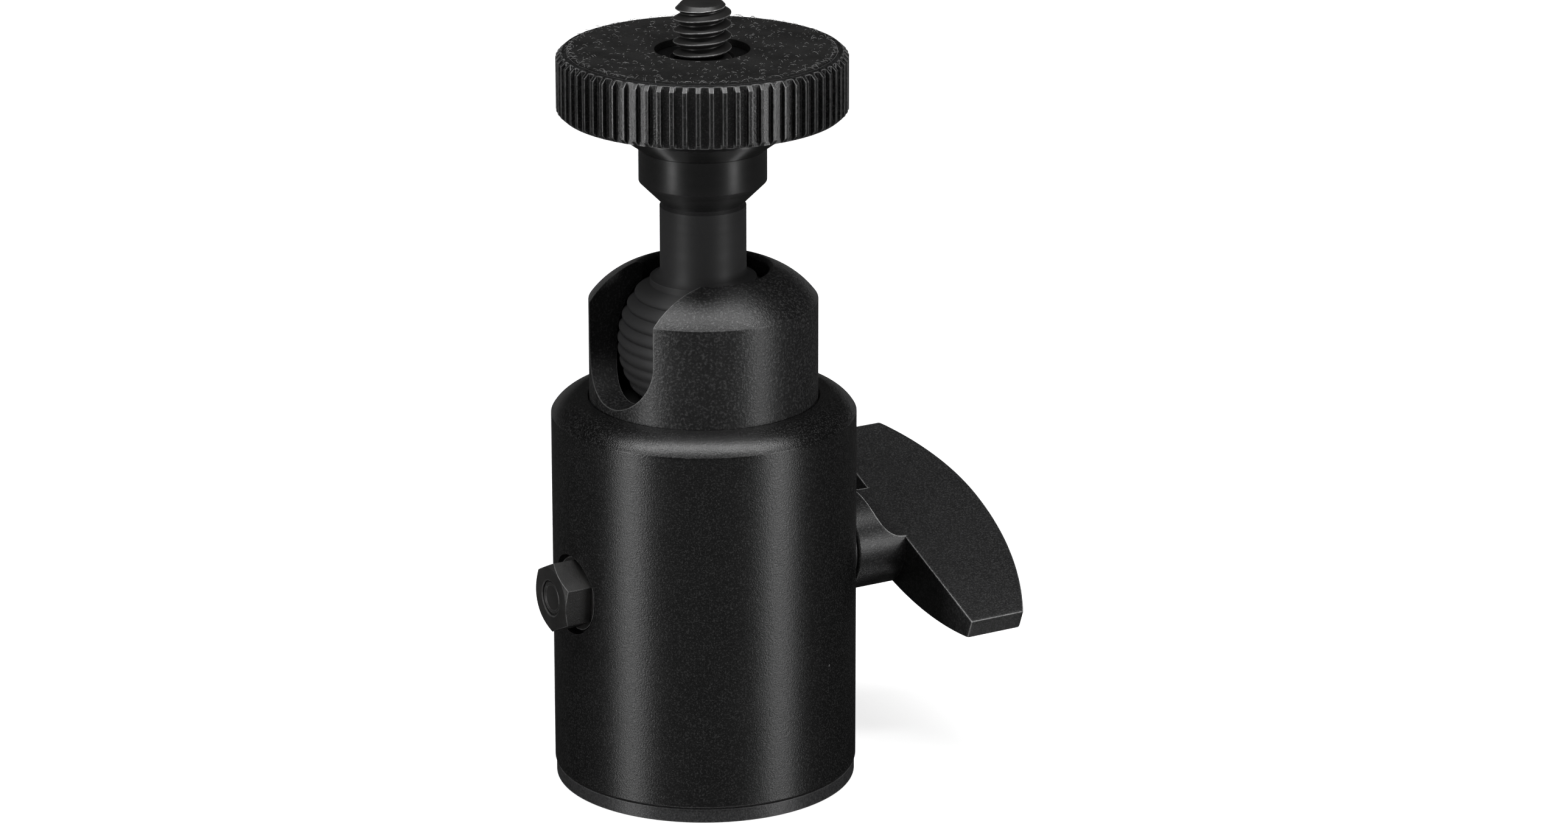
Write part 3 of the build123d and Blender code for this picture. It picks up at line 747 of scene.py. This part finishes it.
def plain(name, colour, roughness, metallic=0.0, grain_size=0.0002, strength=0.2, bare_and_highlight=0.02):
    """A hidden or small piece's finish: a fine grain over one colour, with its edges lightened by wear and by
    a painted highlight.
    """
    made = Finish(name, roughness, Metallic=metallic)
    grain = made.group("Blasted Grain", Grain_Size=grain_size, Speck_Size=0.0003, Speck_Share=0.1)
    mottle = grain.outputs["Mottle"]
    wear_and_highlight = made.group("Edge Wear", Radius=0.00015)
    base = made.blend(made.span(mottle, 0.25, 0.75), shade(colour, 0.8), shade(colour, 1.25))
    made.out(
        # lighter edges: partly wear, partly a painted highlight
        Base_Color=made.lay(base, wear_and_highlight, 0.7, shade(colour, 1.6, bare_and_highlight)),
        Roughness=made.span(mottle, 0.2, 0.8, roughness - 0.06, roughness + 0.06))
    made.bump(grain, strength)


def fibre_pad(name, colour, light, **sockets):
    """Compressed fibre: short flakes that lie mostly one way, with light specks."""
    made = Finish(name, 0.62, **sockets)
    where = made.where()
    laid = made.add("ShaderNodeMapping", Vector=where, Rotation=(0, 0, 0.52), Scale=(1.0, 3.2, 1.0))
    wide, fine = made.noise(laid, 1500.0, 4.0, 0.65), made.noise(laid, 4200.0, 3.0, 0.6)
    slow = made.noise(where, 300.0, 3.0)
    base = made.blend(made.span(slow, 0.3, 0.7), shade(colour, 0.7), shade(colour, 1.3))
    flaked = made.lay(base, made.span(wide, 0.60, 0.74), 0.20, light)
    made.out(
        Base_Color=made.lay(flaked, made.span(fine, 0.70, 0.80), 0.30, light),
        Roughness=made.span(wide, 0.3, 0.75, 0.75, 0.45))
    made.bump(made.plus(wide, made.times(fine, 0.4)), 0.9, 0.00008)


def make_finishes():
    """The head's materials, on their four shared groups."""
    for build in (grain_group, edge_wear_and_highlight_group, turning_group, dust_group):
        build()
    light = grey(0.10)
    anodised, turned_black, steel = (finish_colour(name) for name in ("anodised", "turned", "black_steel"))
    # each finish's edge share and bare colour lighten its outer edges: partly wear, partly a painted
    # highlight
    blasted(
        "anodised blasted", anodised, light, 0.362, anisotropic=0.76, smooth_above=SHOULDER_Z * MM,
        smoother=0.07, edge=0.18, sparkle=0.32, IOR=1.66)
    blasted("base blasted", shade(anodised, 11.0), light, 0.40, anisotropic=0.74, bare_and_highlight=grey(0.3), IOR=1.62)
    blasted(
        "cup blasted", shade(anodised, 3.0), light, 0.45, edge=0.8, lines=0.15, anisotropic=0.65,
        smooth_above=CUP_EDGE_Z * MM, grain_size=0.00025, strength=0.9, bare_and_highlight=grey(0.22), sparkle=0.6, IOR=1.6)
    blasted(
        "anodised knurl", anodised, grey(0.14), 0.31, edge=1.0, lines=0.0, anisotropic=0.8, bare_and_highlight=grey(0.35),
        sparkle=0.55, IOR=1.66)
    # the lever's edges go towards white: a painted highlight along its tip, besides wear
    blasted(
        "lever satin", finish_colour("lever"), grey(0.16), 0.39, edge=1.0, lines=0.0, anisotropic=0.0,
        bare_and_highlight=WHITE, sparkle=0.4)
    smooth_turned(
        "stem turned", turned_black, light, 0.49, anisotropic=0.75, matte_below=CONE_Z * MM, IOR=1.58)
    smooth_turned(
        "hub turned", shade(turned_black, 0.5), light, 0.48, strength=0.15, anisotropic=1.0, IOR=1.68)
    # name, colour, roughness, metallic, grain size, strength of the bump, how bare the edges are, which also
    # paints their highlight
    for settings in (
        # black oxide's bright edges paint the glint on the screw's thread crests
        ("black oxide", shade(steel, 1.4), 0.36, 0.35, 0.00015, 0.3, 0.9),
        ("nut oxide", shade(steel, 1.4), 0.44, 0.2, 0.0002, 0.9, 0.45),
        ("spring steel", (0.36, 0.36, 0.37, 1), 0.3, 1.0),
        ("plain aluminium", (0.62, 0.62, 0.63, 1), 0.35, 1.0),
        ("bush bronze", (0.50, 0.33, 0.13, 1), 0.35, 1.0),
        ("slippery plastic", (0.035, 0.035, 0.036, 1), 0.45),
        ("seat plastic", (0.012, 0.012, 0.012, 1), 0.45),
        ("loose fibre", finish_colour("fibre"), 0.6, 0.0, 0.0004, 0.1),
    ):
        plain(*settings)
    fibre_pad("pad fibre", finish_colour("pad"), grey(0.22), Specular_IOR_Level=0.2)


def material(name):
    """One of the finishes by name; all are made at the first call."""
    if name not in bpy.data.materials:
        make_finishes()
    return bpy.data.materials[name]


# ======== operators
class HEAD_OT_stage(bpy.types.Operator):
    """Floor, soft lamps and the camera."""

    bl_idname = "ballhead.stage"
    bl_label = "Stage"

    def execute(self, context):
        scene = context.scene
        floor = turned("floor", (0, -0.02), (2500, -0.02), segments=64, closed=False)
        floor.data.transform(Matrix.Scale(MM, 4))
        floor.data.materials.append(self.floor_white())
        self.world(scene)
        # name, to the right, towards the camera, up, width, tall, watts, aim height
        self.lamp("left strip", -1.061, 0.751, 0.15, 0.24, 0.30, 4.6, 0.15)
        self.lamp("right strip", 1.088, 0.712, 0.15, 0.24, 0.30, 4.4, 0.15)
        self.lamp("overhead bar", 0.0, 0.145, 0.63, 1.1, 0.08, 4.7, 0.05)
        view = bpy.data.cameras.new("view")
        view.lens, view.sensor_width = 131.5, 36.0
        view.clip_start, view.clip_end = 0.05, 20.0
        eye = bpy.data.objects.new("view", view)
        scene.collection.objects.link(eye)
        eye.location = (-0.28985, -0.51871, 0.23834)
        eye.rotation_euler = (math.radians(71.68), 0, math.radians(-30.04))
        scene.camera = eye
        scene.view_settings.view_transform = "Standard"
        return {"FINISHED"}

    def floor_white(self):
        """Pale floor: white to the camera, with the object's shadow; dim near the object for other rays."""
        white = bpy.data.materials.new("floor white")
        made = Nodes(nodes_of(white))
        made.tree.nodes.remove(made.tree.nodes["Principled BSDF"])
        path = made.add("ShaderNodeLightPath").outputs
        camera = path["Is Camera Ray"]
        mirror = made.calc("MAXIMUM", path["Is Glossy Ray"], path["Is Transmission Ray"])
        away = made.vector("LENGTH", made.where()).outputs["Value"]
        far = made.span(away, 0.6, 1.2)
        seen = made.times(camera, made.span(away, 0.12, 0.5, 0.8, 1.0))
        glow = made.plus(seen, made.times(mirror, far))
        matte = made.add("ShaderNodeBsdfDiffuse", Color=made.blend(camera, grey(0.02), grey(0.8)))
        light = made.add("ShaderNodeEmission", Color=WHITE, Strength=glow)
        gloss = made.add(
            "ShaderNodeBsdfGlossy", Color=made.blend(camera, grey(0.3), grey(0)), Roughness=0.15)
        both = made.add("ShaderNodeAddShader", None, matte, light)
        made.fill(
            made.tree.nodes["Material Output"], Surface=made.add("ShaderNodeAddShader", None, both, gloss))
        return white

    def world(self, scene):
        """White all round for the camera, and a low even fill for everything else."""
        scene.world = bpy.data.worlds.new("studio")
        made = Nodes(nodes_of(scene.world))
        seen = made.add("ShaderNodeLightPath").outputs["Is Camera Ray"]
        made.fill(made.tree.nodes["Background"], Color=made.blend(seen, grey(0.025), WHITE))

    def lamp(self, name, right, near, up, width, tall, power, aim_height):
        """One soft lamp, placed by the camera's side and aimed at the object's axis."""
        data = bpy.data.lights.new(name, "AREA")
        data.shape, data.size, data.size_y, data.energy = "RECTANGLE", width, tall, power
        made = bpy.data.objects.new(name, data)
        bpy.context.scene.collection.objects.link(made)
        made.location = CAMERA_SIDE * right + CAMERA_FRONT * near + Vector((0, 0, up))
        aim = Vector((0, 0, aim_height)) - made.location
        made.rotation_euler = aim.to_track_quat("-Z", "Y").to_euler()


class HEAD_OT_housing(bpy.types.Operator):
    """Housing with its rounded shoulder, nut recess, lever flat and cross bore."""

    bl_idname = "ballhead.housing"
    bl_label = "Housing"

    def execute(self, context):
        size = sizes()
        radius, cavity, lip, lip_z = size["body_radius"], 13.5, 12.6, 40.2
        bend, start_deg = 3.667, 30
        shoulder = arc(arc_centre((radius, SHOULDER_Z), bend, start_deg), bend, start_deg, 90, 16)
        made = turned(
            "housing_shell", (cavity, BASE_TOP), (radius - 0.2, BASE_TOP, 0.05),
            (radius, BASE_TOP + 0.2, 0.1), (*shoulder[0], 0.14), *shoulder[1:-1],
            (lip, shoulder[-1][1], 0.22), (lip, lip_z, 0.1), (cavity, lip_z), segments=256)
        nut_bush, nut_recess, lever_bush, spotface = 3.97, 4.44, 4.77, 5.8
        cut(made, [
            along_shaft(rod(nut_bush, -17, 0)),
            along_shaft(rod(nut_recess, -30, NUT_FLOOR_X, 128)),
            along_shaft(rod(lever_bush, 0, 17)),
            along_shaft(rod(spotface, SPOTFACE_X, 30, 128)),
            lock_screw_hole(0),
        ], size["edge_softness"] * 0.8, 45)
        finish_piece(made, "anodised blasted", "body", "anodised_blasted", "housing")
        return {"FINISHED"}


class HEAD_OT_base(bpy.types.Operator):
    """Base plate with its spanner holes, the slotted thread bush and the lock screw."""

    bl_idname = "ballhead.base"
    bl_label = "Base"

    def execute(self, context):
        size = sizes()
        edge, spigot, spigot_top = size["body_radius"] - 0.15, 13.48, 8.0
        thread, flange, flange_z = 4.78, 6.22, 1.2
        plate = turned(
            "base_disc", (flange, 0, 0.08), (edge, 0, 0.14), (edge, BASE_TOP - 0.14, 0.04),
            (edge - 0.26, BASE_TOP), (spigot, BASE_TOP), (spigot, spigot_top, 0.2), (thread, spigot_top),
            (thread, flange_z), (flange, flange_z), segments=256)
        spanner_holes = [place(rod(1.1, -1, 2.2, 48), shift(x)) for x in (-10.5, 10.5)]
        cut(plate, [*spanner_holes, lock_screw_hole(11.85)], 0.08, 60)
        finish_piece(plate, "base blasted", "body", "anodised_blasted", "base_plate")
        paint_nodes("black oxide", "reducer_bush", "base_lock_screw")
        return {"FINISHED"}


class HEAD_OT_cup(bpy.types.Operator):
    """Domed panning cup with its side notch."""

    bl_idname = "ballhead.cup"
    bl_label = "Panning cup"

    def execute(self, context):
        size = sizes()
        radius, flange, flange_top, hole, socket = size["cup_radius"], 13.3, 39.65, 7.1, 9.46
        bend, start_deg, rounding = 9.5, 36, 0.5
        centre = arc_centre((radius, CUP_EDGE_Z), bend, start_deg)
        rim_deg = math.degrees(math.acos((hole + rounding - centre[0]) / bend))
        dome = arc(centre, bend, start_deg, rim_deg, 20)
        rim = arc((hole + rounding, dome[-1][1] - rounding), rounding, rim_deg, 180, 6)
        inside = arc((0, BALL_Z), socket, math.degrees(math.acos(hole / socket)), 0, 24)
        made = turned(
            "cup_dome", (socket, CUP_BOTTOM), (flange, CUP_BOTTOM), (flange, flange_top, 0.1),
            (radius, flange_top), (*dome[0], 0.12), *dome[1:], *rim[1:], *inside, segments=256)
        half = size["neck_radius"] + 1.2
        notch = prism("slot", [(-half, 30), *arc((0, 0), half, 180, 360, 48), (half, 30)], 30.0)
        place(notch, shift(z=BALL_Z + 0.5), spin(math.radians(-173), "Z"))
        cut(made, [notch], size["edge_softness"] * 0.9, 40)
        finish_piece(made, "cup blasted", "cup", "anodised_blasted", "panning_cup")
        return {"FINISHED"}


class HEAD_OT_ball_stem(bpy.types.Operator):
    """Ribbed ball, neck, cone and collar, turned in one piece."""

    bl_idname = "ballhead.ball_stem"
    bl_label = "Ball and stem"

    def execute(self, context):
        size = sizes()
        ball, neck, collar = size["ball_radius"], size["neck_radius"], size["collar_radius"]
        bore, bore_z, pitch, top_groove, groove_count = 3.19, 61.0, 1.33, 6.5, 12
        grooves = [top_groove - pitch * index for index in range(groove_count)]

        def surface(radius, height):
            return (math.sqrt(radius * radius - height * height), BALL_Z + height)

        # grooves at those heights, and a rounded rib from each to the next
        ribs = []
        for height in grooves:
            depth = 0.46 if height > 0 else 0.34
            ribs.append(surface(ball - depth, height))
            if height != grooves[-1]:
                for step in (0.1, 0.22, 0.36, 0.5, 0.64, 0.78, 0.9):
                    fall = depth * abs(2 * step - 1) ** 2.2
                    ribs.append(surface(ball - 0.01 - fall, height - pitch * step))
        below = ball - 0.22
        low_deg = math.degrees(math.asin(grooves[-1] / below)) - 3
        bottom = arc((0, BALL_Z), below, low_deg, -90, 6)
        bottom[-1] = (0, BALL_Z - below)
        # the neck's foot, a quarter round that is squeezed a little in height
        flare_r, flare_z = 1.1, BALL_Z + 7.25
        flare = arc((neck + flare_r, flare_z + flare_r), flare_r, 180, 270, 6)
        flare = [(x, BALL_Z + 7.3 + (z - flare_z) * 1.05 / flare_r) for x, z in flare]
        made = turned(
            "ball_and_stem", (0, bore_z), (bore, bore_z), (bore, COLLAR_TOP), (collar, COLLAR_TOP, 0.14),
            (collar, COLLAR_Z, 0.12), (neck - 0.35, CONE_Z), (neck, CONE_Z - 0.25, 0.06), *flare,
            (5.8, BALL_Z + 6.6), *ribs, *bottom, closed=False)
        finish_piece(made, "stem turned", "stem", "anodised_smooth", "ball_stem")
        return {"FINISHED"}


class HEAD_OT_disc_hub(bpy.types.Operator):
    """Glossy hub that carries the lock disc."""

    bl_idname = "ballhead.disc_hub"
    bl_label = "Disc hub"

    def execute(self, context):
        size = sizes()
        collar, bore, neck, neck_top = size["collar_radius"], 3.19, 5.95, 81.75
        flange, flange_top = collar + 2.6, DISC_BOTTOM - 0.02
        made = turned(
            "disc_bearing", (bore, COLLAR_TOP), (collar, COLLAR_TOP, 0.05), (flange, COLLAR_TOP + 1.9, 0.25),
            (flange, flange_top), (neck, flange_top), (neck, neck_top, 0.12), (bore + 0.31, neck_top),
            (bore, neck_top - 0.31), segments=160)
        finish_piece(made, "hub turned", "hub", "anodised_smooth", "disc_hub")
        return {"FINISHED"}


class HEAD_OT_lock_disc(bpy.types.Operator):
    """Knurled lock disc: one groove's share of the rim, repeated all round."""

    bl_idname = "ballhead.lock_disc"
    bl_label = "Lock disc"

    def execute(self, context):
        size = sizes()
        radius, hole, recess = size["disc_radius"], 6.0, size["pad_radius"] + 0.02
        count, depth, land, flank, chamfer = size["knurl_count"], 0.6, 0.255, 0.05, 0.58
        half, floor = math.pi / count, radius - depth
        # (angle from the groove's middle, radius) across one groove and the halves of its two lands
        land_start = half - land / radius
        across = [
            (-half, radius), (-(land_start + 0.10 / radius), radius),
            (-(land_start + 0.03 / radius), radius - 0.015), (-land_start, radius - 0.06),
            (-(land_start - flank / radius), floor + 0.06), (-(land_start - (flank + 0.07) / radius), floor),
            (0, floor),
        ]
        across += [(-angle, r) for angle, r in reversed(across[:-1])]
        inner = radius - chamfer
        edge = [(inner - 0.27, 0), (inner - 0.13, 0.015), (inner - 0.02, 0.05), (inner + 0.07, 0.12),
                (radius - 0.03, chamfer - 0.03), (radius, chamfer + 0.03), (radius, chamfer + 0.14)]
        rows = [(hole, DISC_BOTTOM), *[(r, DISC_BOTTOM + z) for r, z in edge],
                *[(r, DISC_TOP - z) for r, z in reversed(edge)],
                (recess + 0.06, DISC_TOP), (recess, DISC_TOP - 0.06), (recess, PAD_BOTTOM),
                (hole, PAD_BOTTOM)]
        made = skin("lock_disc_rim", [
            [(min(r, limit) * math.cos(angle), min(r, limit) * math.sin(angle), z) for r, z in rows]
            for angle, limit in across], capped=False)
        round_pattern_tree().run(made, "anodised knurl", Count=count, Merge_Distance=0.003)
        face_outwards(made)
        finish_piece(made, "anodised knurl", "disc", "anodised_knurl", "knurled_disc", smooth_deg=30)
        return {"FINISHED"}


class HEAD_OT_pad(bpy.types.Operator):
    """Friction pad with its frayed fibres."""

    bl_idname = "ballhead.pad"
    bl_label = "Friction pad"

    def execute(self, context):
        size = sizes()
        outer, hole, steps = size["pad_radius"], 5.15, 24
        rim, lip = outer - 0.14, hole + 0.1
        face = [(rim + (lip - rim) * step / steps, PAD_TOP) for step in range(steps)]
        made = turned(
            "pad_sheet", (outer, PAD_BOTTOM), (outer, PAD_TOP - 0.12), (outer - 0.05, PAD_TOP - 0.03), *face,
            (lip, PAD_TOP), (hole + 0.02, PAD_TOP - 0.04), (hole, PAD_TOP - 0.12), (hole, PAD_BOTTOM),
            segments=256)
        finish_piece(made, "pad fibre", "disc", "pad_fibre", "friction_pad")
        # short fibres lying on the face, and longer ones that stand out round its edge
        scatter, naps, nap_z = fibre_tree(), [], PAD_TOP - 0.005
        for low, high, density, length, thick, lift in (
            (lip, outer - 0.1, 1.1, 0.50, 0.026, 0.10), (outer - 0.35, outer + 0.05, 7.0, 0.9, 0.024, 0.5),
        ):
            nap = turned("nap", (low, nap_z), (high, nap_z), segments=96, closed=False)
            for polygon in nap.data.polygons:
                if polygon.normal.z < 0:
                    polygon.flip()
            naps.append(scatter.run(
                nap, "loose fibre", Density=density, Length=length, Thickness=thick, Lift=lift,
                Seed=5 + len(naps)))
        finish_piece(join("pad_nap", *naps), "loose fibre", "disc", "pad_fibre", smooth_deg=60)
        return {"FINISHED"}


class HEAD_OT_camera_screw(bpy.types.Operator):
    """Camera screw with its real thread."""

    bl_idname = "ballhead.camera_screw"
    bl_label = "Camera screw"

    def execute(self, context):
        size = sizes()
        pitch, outer, foot = size["thread_pitch"], size["stud_radius"], 61.4
        root, low, top, tip = outer - 0.80, 78.5, STUD_TIP - 0.22, 2.3
        segments, turns, top_crest = 96, 10, 1.21
        # the plain shank below the thread, and the crown on its tip
        shank = turned(
            "shank", (0, foot), (outer, foot, 0.2), (outer, low - 0.8), (root, low), segments=segments,
            closed=False)
        crown = turned(
            "crown", (tip, top), (2.1, top + 0.07), (1.7, top + 0.13), (1.1, top + 0.18), (0.5, top + 0.21),
            (0, top + 0.22), segments=segments, closed=False)
        made = join("screw_threaded", shank, crown)
        thread_tree().run(
            made, "black oxide", Pitch=pitch, Outer_Radius=outer, Root_Radius=root, Bottom=low, Top=top,
            Start=STUD_TIP - top_crest - pitch * (turns - 1.5), Tip_Radius=tip, Tip_Height=0.9,
            Turns=turns, Segments=segments)
        merge(made, 0.003)
        face_outwards(made)
        finish_piece(made, "black oxide", "screw", "black_steel", "camera_stud", smooth_deg=28)
        return {"FINISHED"}


class HEAD_OT_lever(bpy.types.Operator):
    """Two-winged locking lever on its round hub."""

    bl_idname = "ballhead.lever"
    bl_label = "Lever"

    def execute(self, context):
        # the wings' reach, height of their face, and depth and curve of their underside
        front, back, face, deep, belly, stations = 19.7, 14.8, 3.2, 3.8, 44.0, 56
        sections = []
        for index in range(stations + 1):
            y = -front + (front + back) * index / stations
            bow = 39.5 if y < 0 else 26.0
            outer = APEX_X - bow + math.sqrt(bow * bow - y * y)
            under = belly - deep - math.sqrt(belly * belly - y * y)
            sections.append([(WING_X, y, under), (outer, y, under), (outer, y, face), (WING_X, y, face)])
        made = skin("locking_lever", sections)
        break_edges(made, 0.26, 40)
        radius, shoulder_x, nose, end_x, runout = 5.4, 25.3, 4.2, 26.5, 3.35
        hub = place(turned(
            "hub", (0, LEVER_X), (radius, LEVER_X, 0.25), (radius, shoulder_x, 0.1), (nose, end_x),
            (0, end_x), segments=160, closed=False), spin(QUARTER, "Y"))
        # the hub's top is milled down to the wings' face, and the mill leaves a round runout
        combine(hub, [
            place(prism("above", [(-12, face), (12, face), (12, 14), (-12, 14)], 30), shift(WING_X)),
            place(rod(runout, -14, 14), shift(WING_X, 0, face + runout), spin(QUARTER, "X")),
        ])
        combine(made, [hub], "UNION")
        shaft_bore, pin_hole, pin_x = 2.22, 1.02, 20.1
        cut(made, [
            place(rod(shaft_bore, 10, 24.15, 64), spin(QUARTER, "Y")),
            place(rod(pin_hole, -12, 2.3, 48), shift(pin_x)),
        ], 0.14, 50)
        place(made, shift(z=SHAFT_Z), spin(LEVER_TILT, "X"))
        finish_piece(made, "lever satin", "lever_unit", "lever_black", "lever")
        paint_nodes("spring steel", "lever_pin")
        return {"FINISHED"}


class HEAD_OT_nut(bpy.types.Operator):
    """Hexagon nut, its washer and the end of the cross shaft."""

    bl_idname = "ballhead.nut"
    bl_label = "Shaft nut"

    def execute(self, context):
        across_flats, turn_deg, thread = 7.0, 33.5, 1.97
        corner = across_flats / math.sqrt(3)
        section = arc((0, 0), corner, turn_deg, turn_deg + 300, 5)
        made = prism("hex_nut", section, NUT_X - NUT_END_X)
        break_edges(made, 0.09, 40)
        place(made, shift(NUT_END_X, 0, SHAFT_Z))
        envelope = turned(
            "envelope", (thread + 0.08, NUT_END_X), (corner - 0.62, NUT_END_X, 0.06),
            (corner, NUT_END_X + 0.30), (corner + 0.3, NUT_END_X + 0.45), (corner + 0.3, NUT_X + 1),
            (thread, NUT_X + 1), (thread, NUT_END_X + 0.08), segments=256)
        combine(made, [along_shaft(envelope)], "INTERSECT")
        merge(made, 0.006)
        break_edges(made, 0.05, 25)
        finish_piece(made, "nut oxide", "lever_unit", "black_steel", "shaft_nut")
        # the bevelled, dished end of the shaft, seen in the nut's hole
        back, dish, end = -18.9, -18.98, -19.12
        tip = turned(
            "shaft_tip", (0, back), (1.93, back), (1.93, back - 0.06), (1.72, end, 0.05), (1.56, end, 0.04),
            (1.40, dish), (0, dish), segments=128, closed=False)
        finish_piece(along_shaft(tip), "nut oxide", "lever_unit", "black_steel")
        paint_nodes("nut oxide", "nut_washer", "cross_shaft")
        return {"FINISHED"}


class HEAD_OT_inside(bpy.types.Operator):
    """Finishes of the pieces inside the housing."""

    bl_idname = "ballhead.inside"
    bl_label = "Inner pieces"

    def execute(self, context):
        paint_nodes("slippery plastic", "pan_washer", "thrust_washer")
        paint_nodes("bush bronze", "shaft_bush_nut_side", "shaft_bush_lever_side")
        paint_nodes("plain aluminium", "plunger")
        paint_nodes("seat plastic", "ball_seat")
        paint_nodes("spring steel", "disc_springs", "cam_follower")
        return {"FINISHED"}


STEPS = (
    HEAD_OT_stage, HEAD_OT_housing, HEAD_OT_base, HEAD_OT_cup, HEAD_OT_ball_stem, HEAD_OT_disc_hub,
    HEAD_OT_lock_disc, HEAD_OT_pad, HEAD_OT_camera_screw, HEAD_OT_lever, HEAD_OT_nut, HEAD_OT_inside,
)


class HEAD_PT_panel(bpy.types.Panel):
    """Sizes, finishes and building steps."""

    bl_idname = "HEAD_PT_panel"
    bl_label = "Ball Head"
    bl_space_type = "VIEW_3D"
    bl_region_type = "UI"
    bl_category = "Ball Head"

    def draw(self, context):
        column = self.layout.column()
        for group in (context.scene.head_sizes, context.scene.head_finish):
            for name in type(group).__annotations__:
                column.prop(group, name)
        for step in STEPS:
            column.operator(step.bl_idname)


CLASSES = (HeadSizes, HeadFinish, *STEPS, HEAD_PT_panel)


def register():
    for made in CLASSES:
        bpy.utils.register_class(made)
    bpy.types.Scene.head_sizes = PointerProperty(type=HeadSizes)
    bpy.types.Scene.head_finish = PointerProperty(type=HeadFinish)


def unregister():
    del bpy.types.Scene.head_finish
    del bpy.types.Scene.head_sizes
    for made in reversed(CLASSES):
        bpy.utils.unregister_class(made)


def main():
    """Build the whole head in order."""
    register()
    for step in STEPS:
        area, name = step.bl_idname.split(".")
        getattr(getattr(bpy.ops, area), name)()
    bpy.context.view_layer.update()


if __name__ == "__main__":
    main()
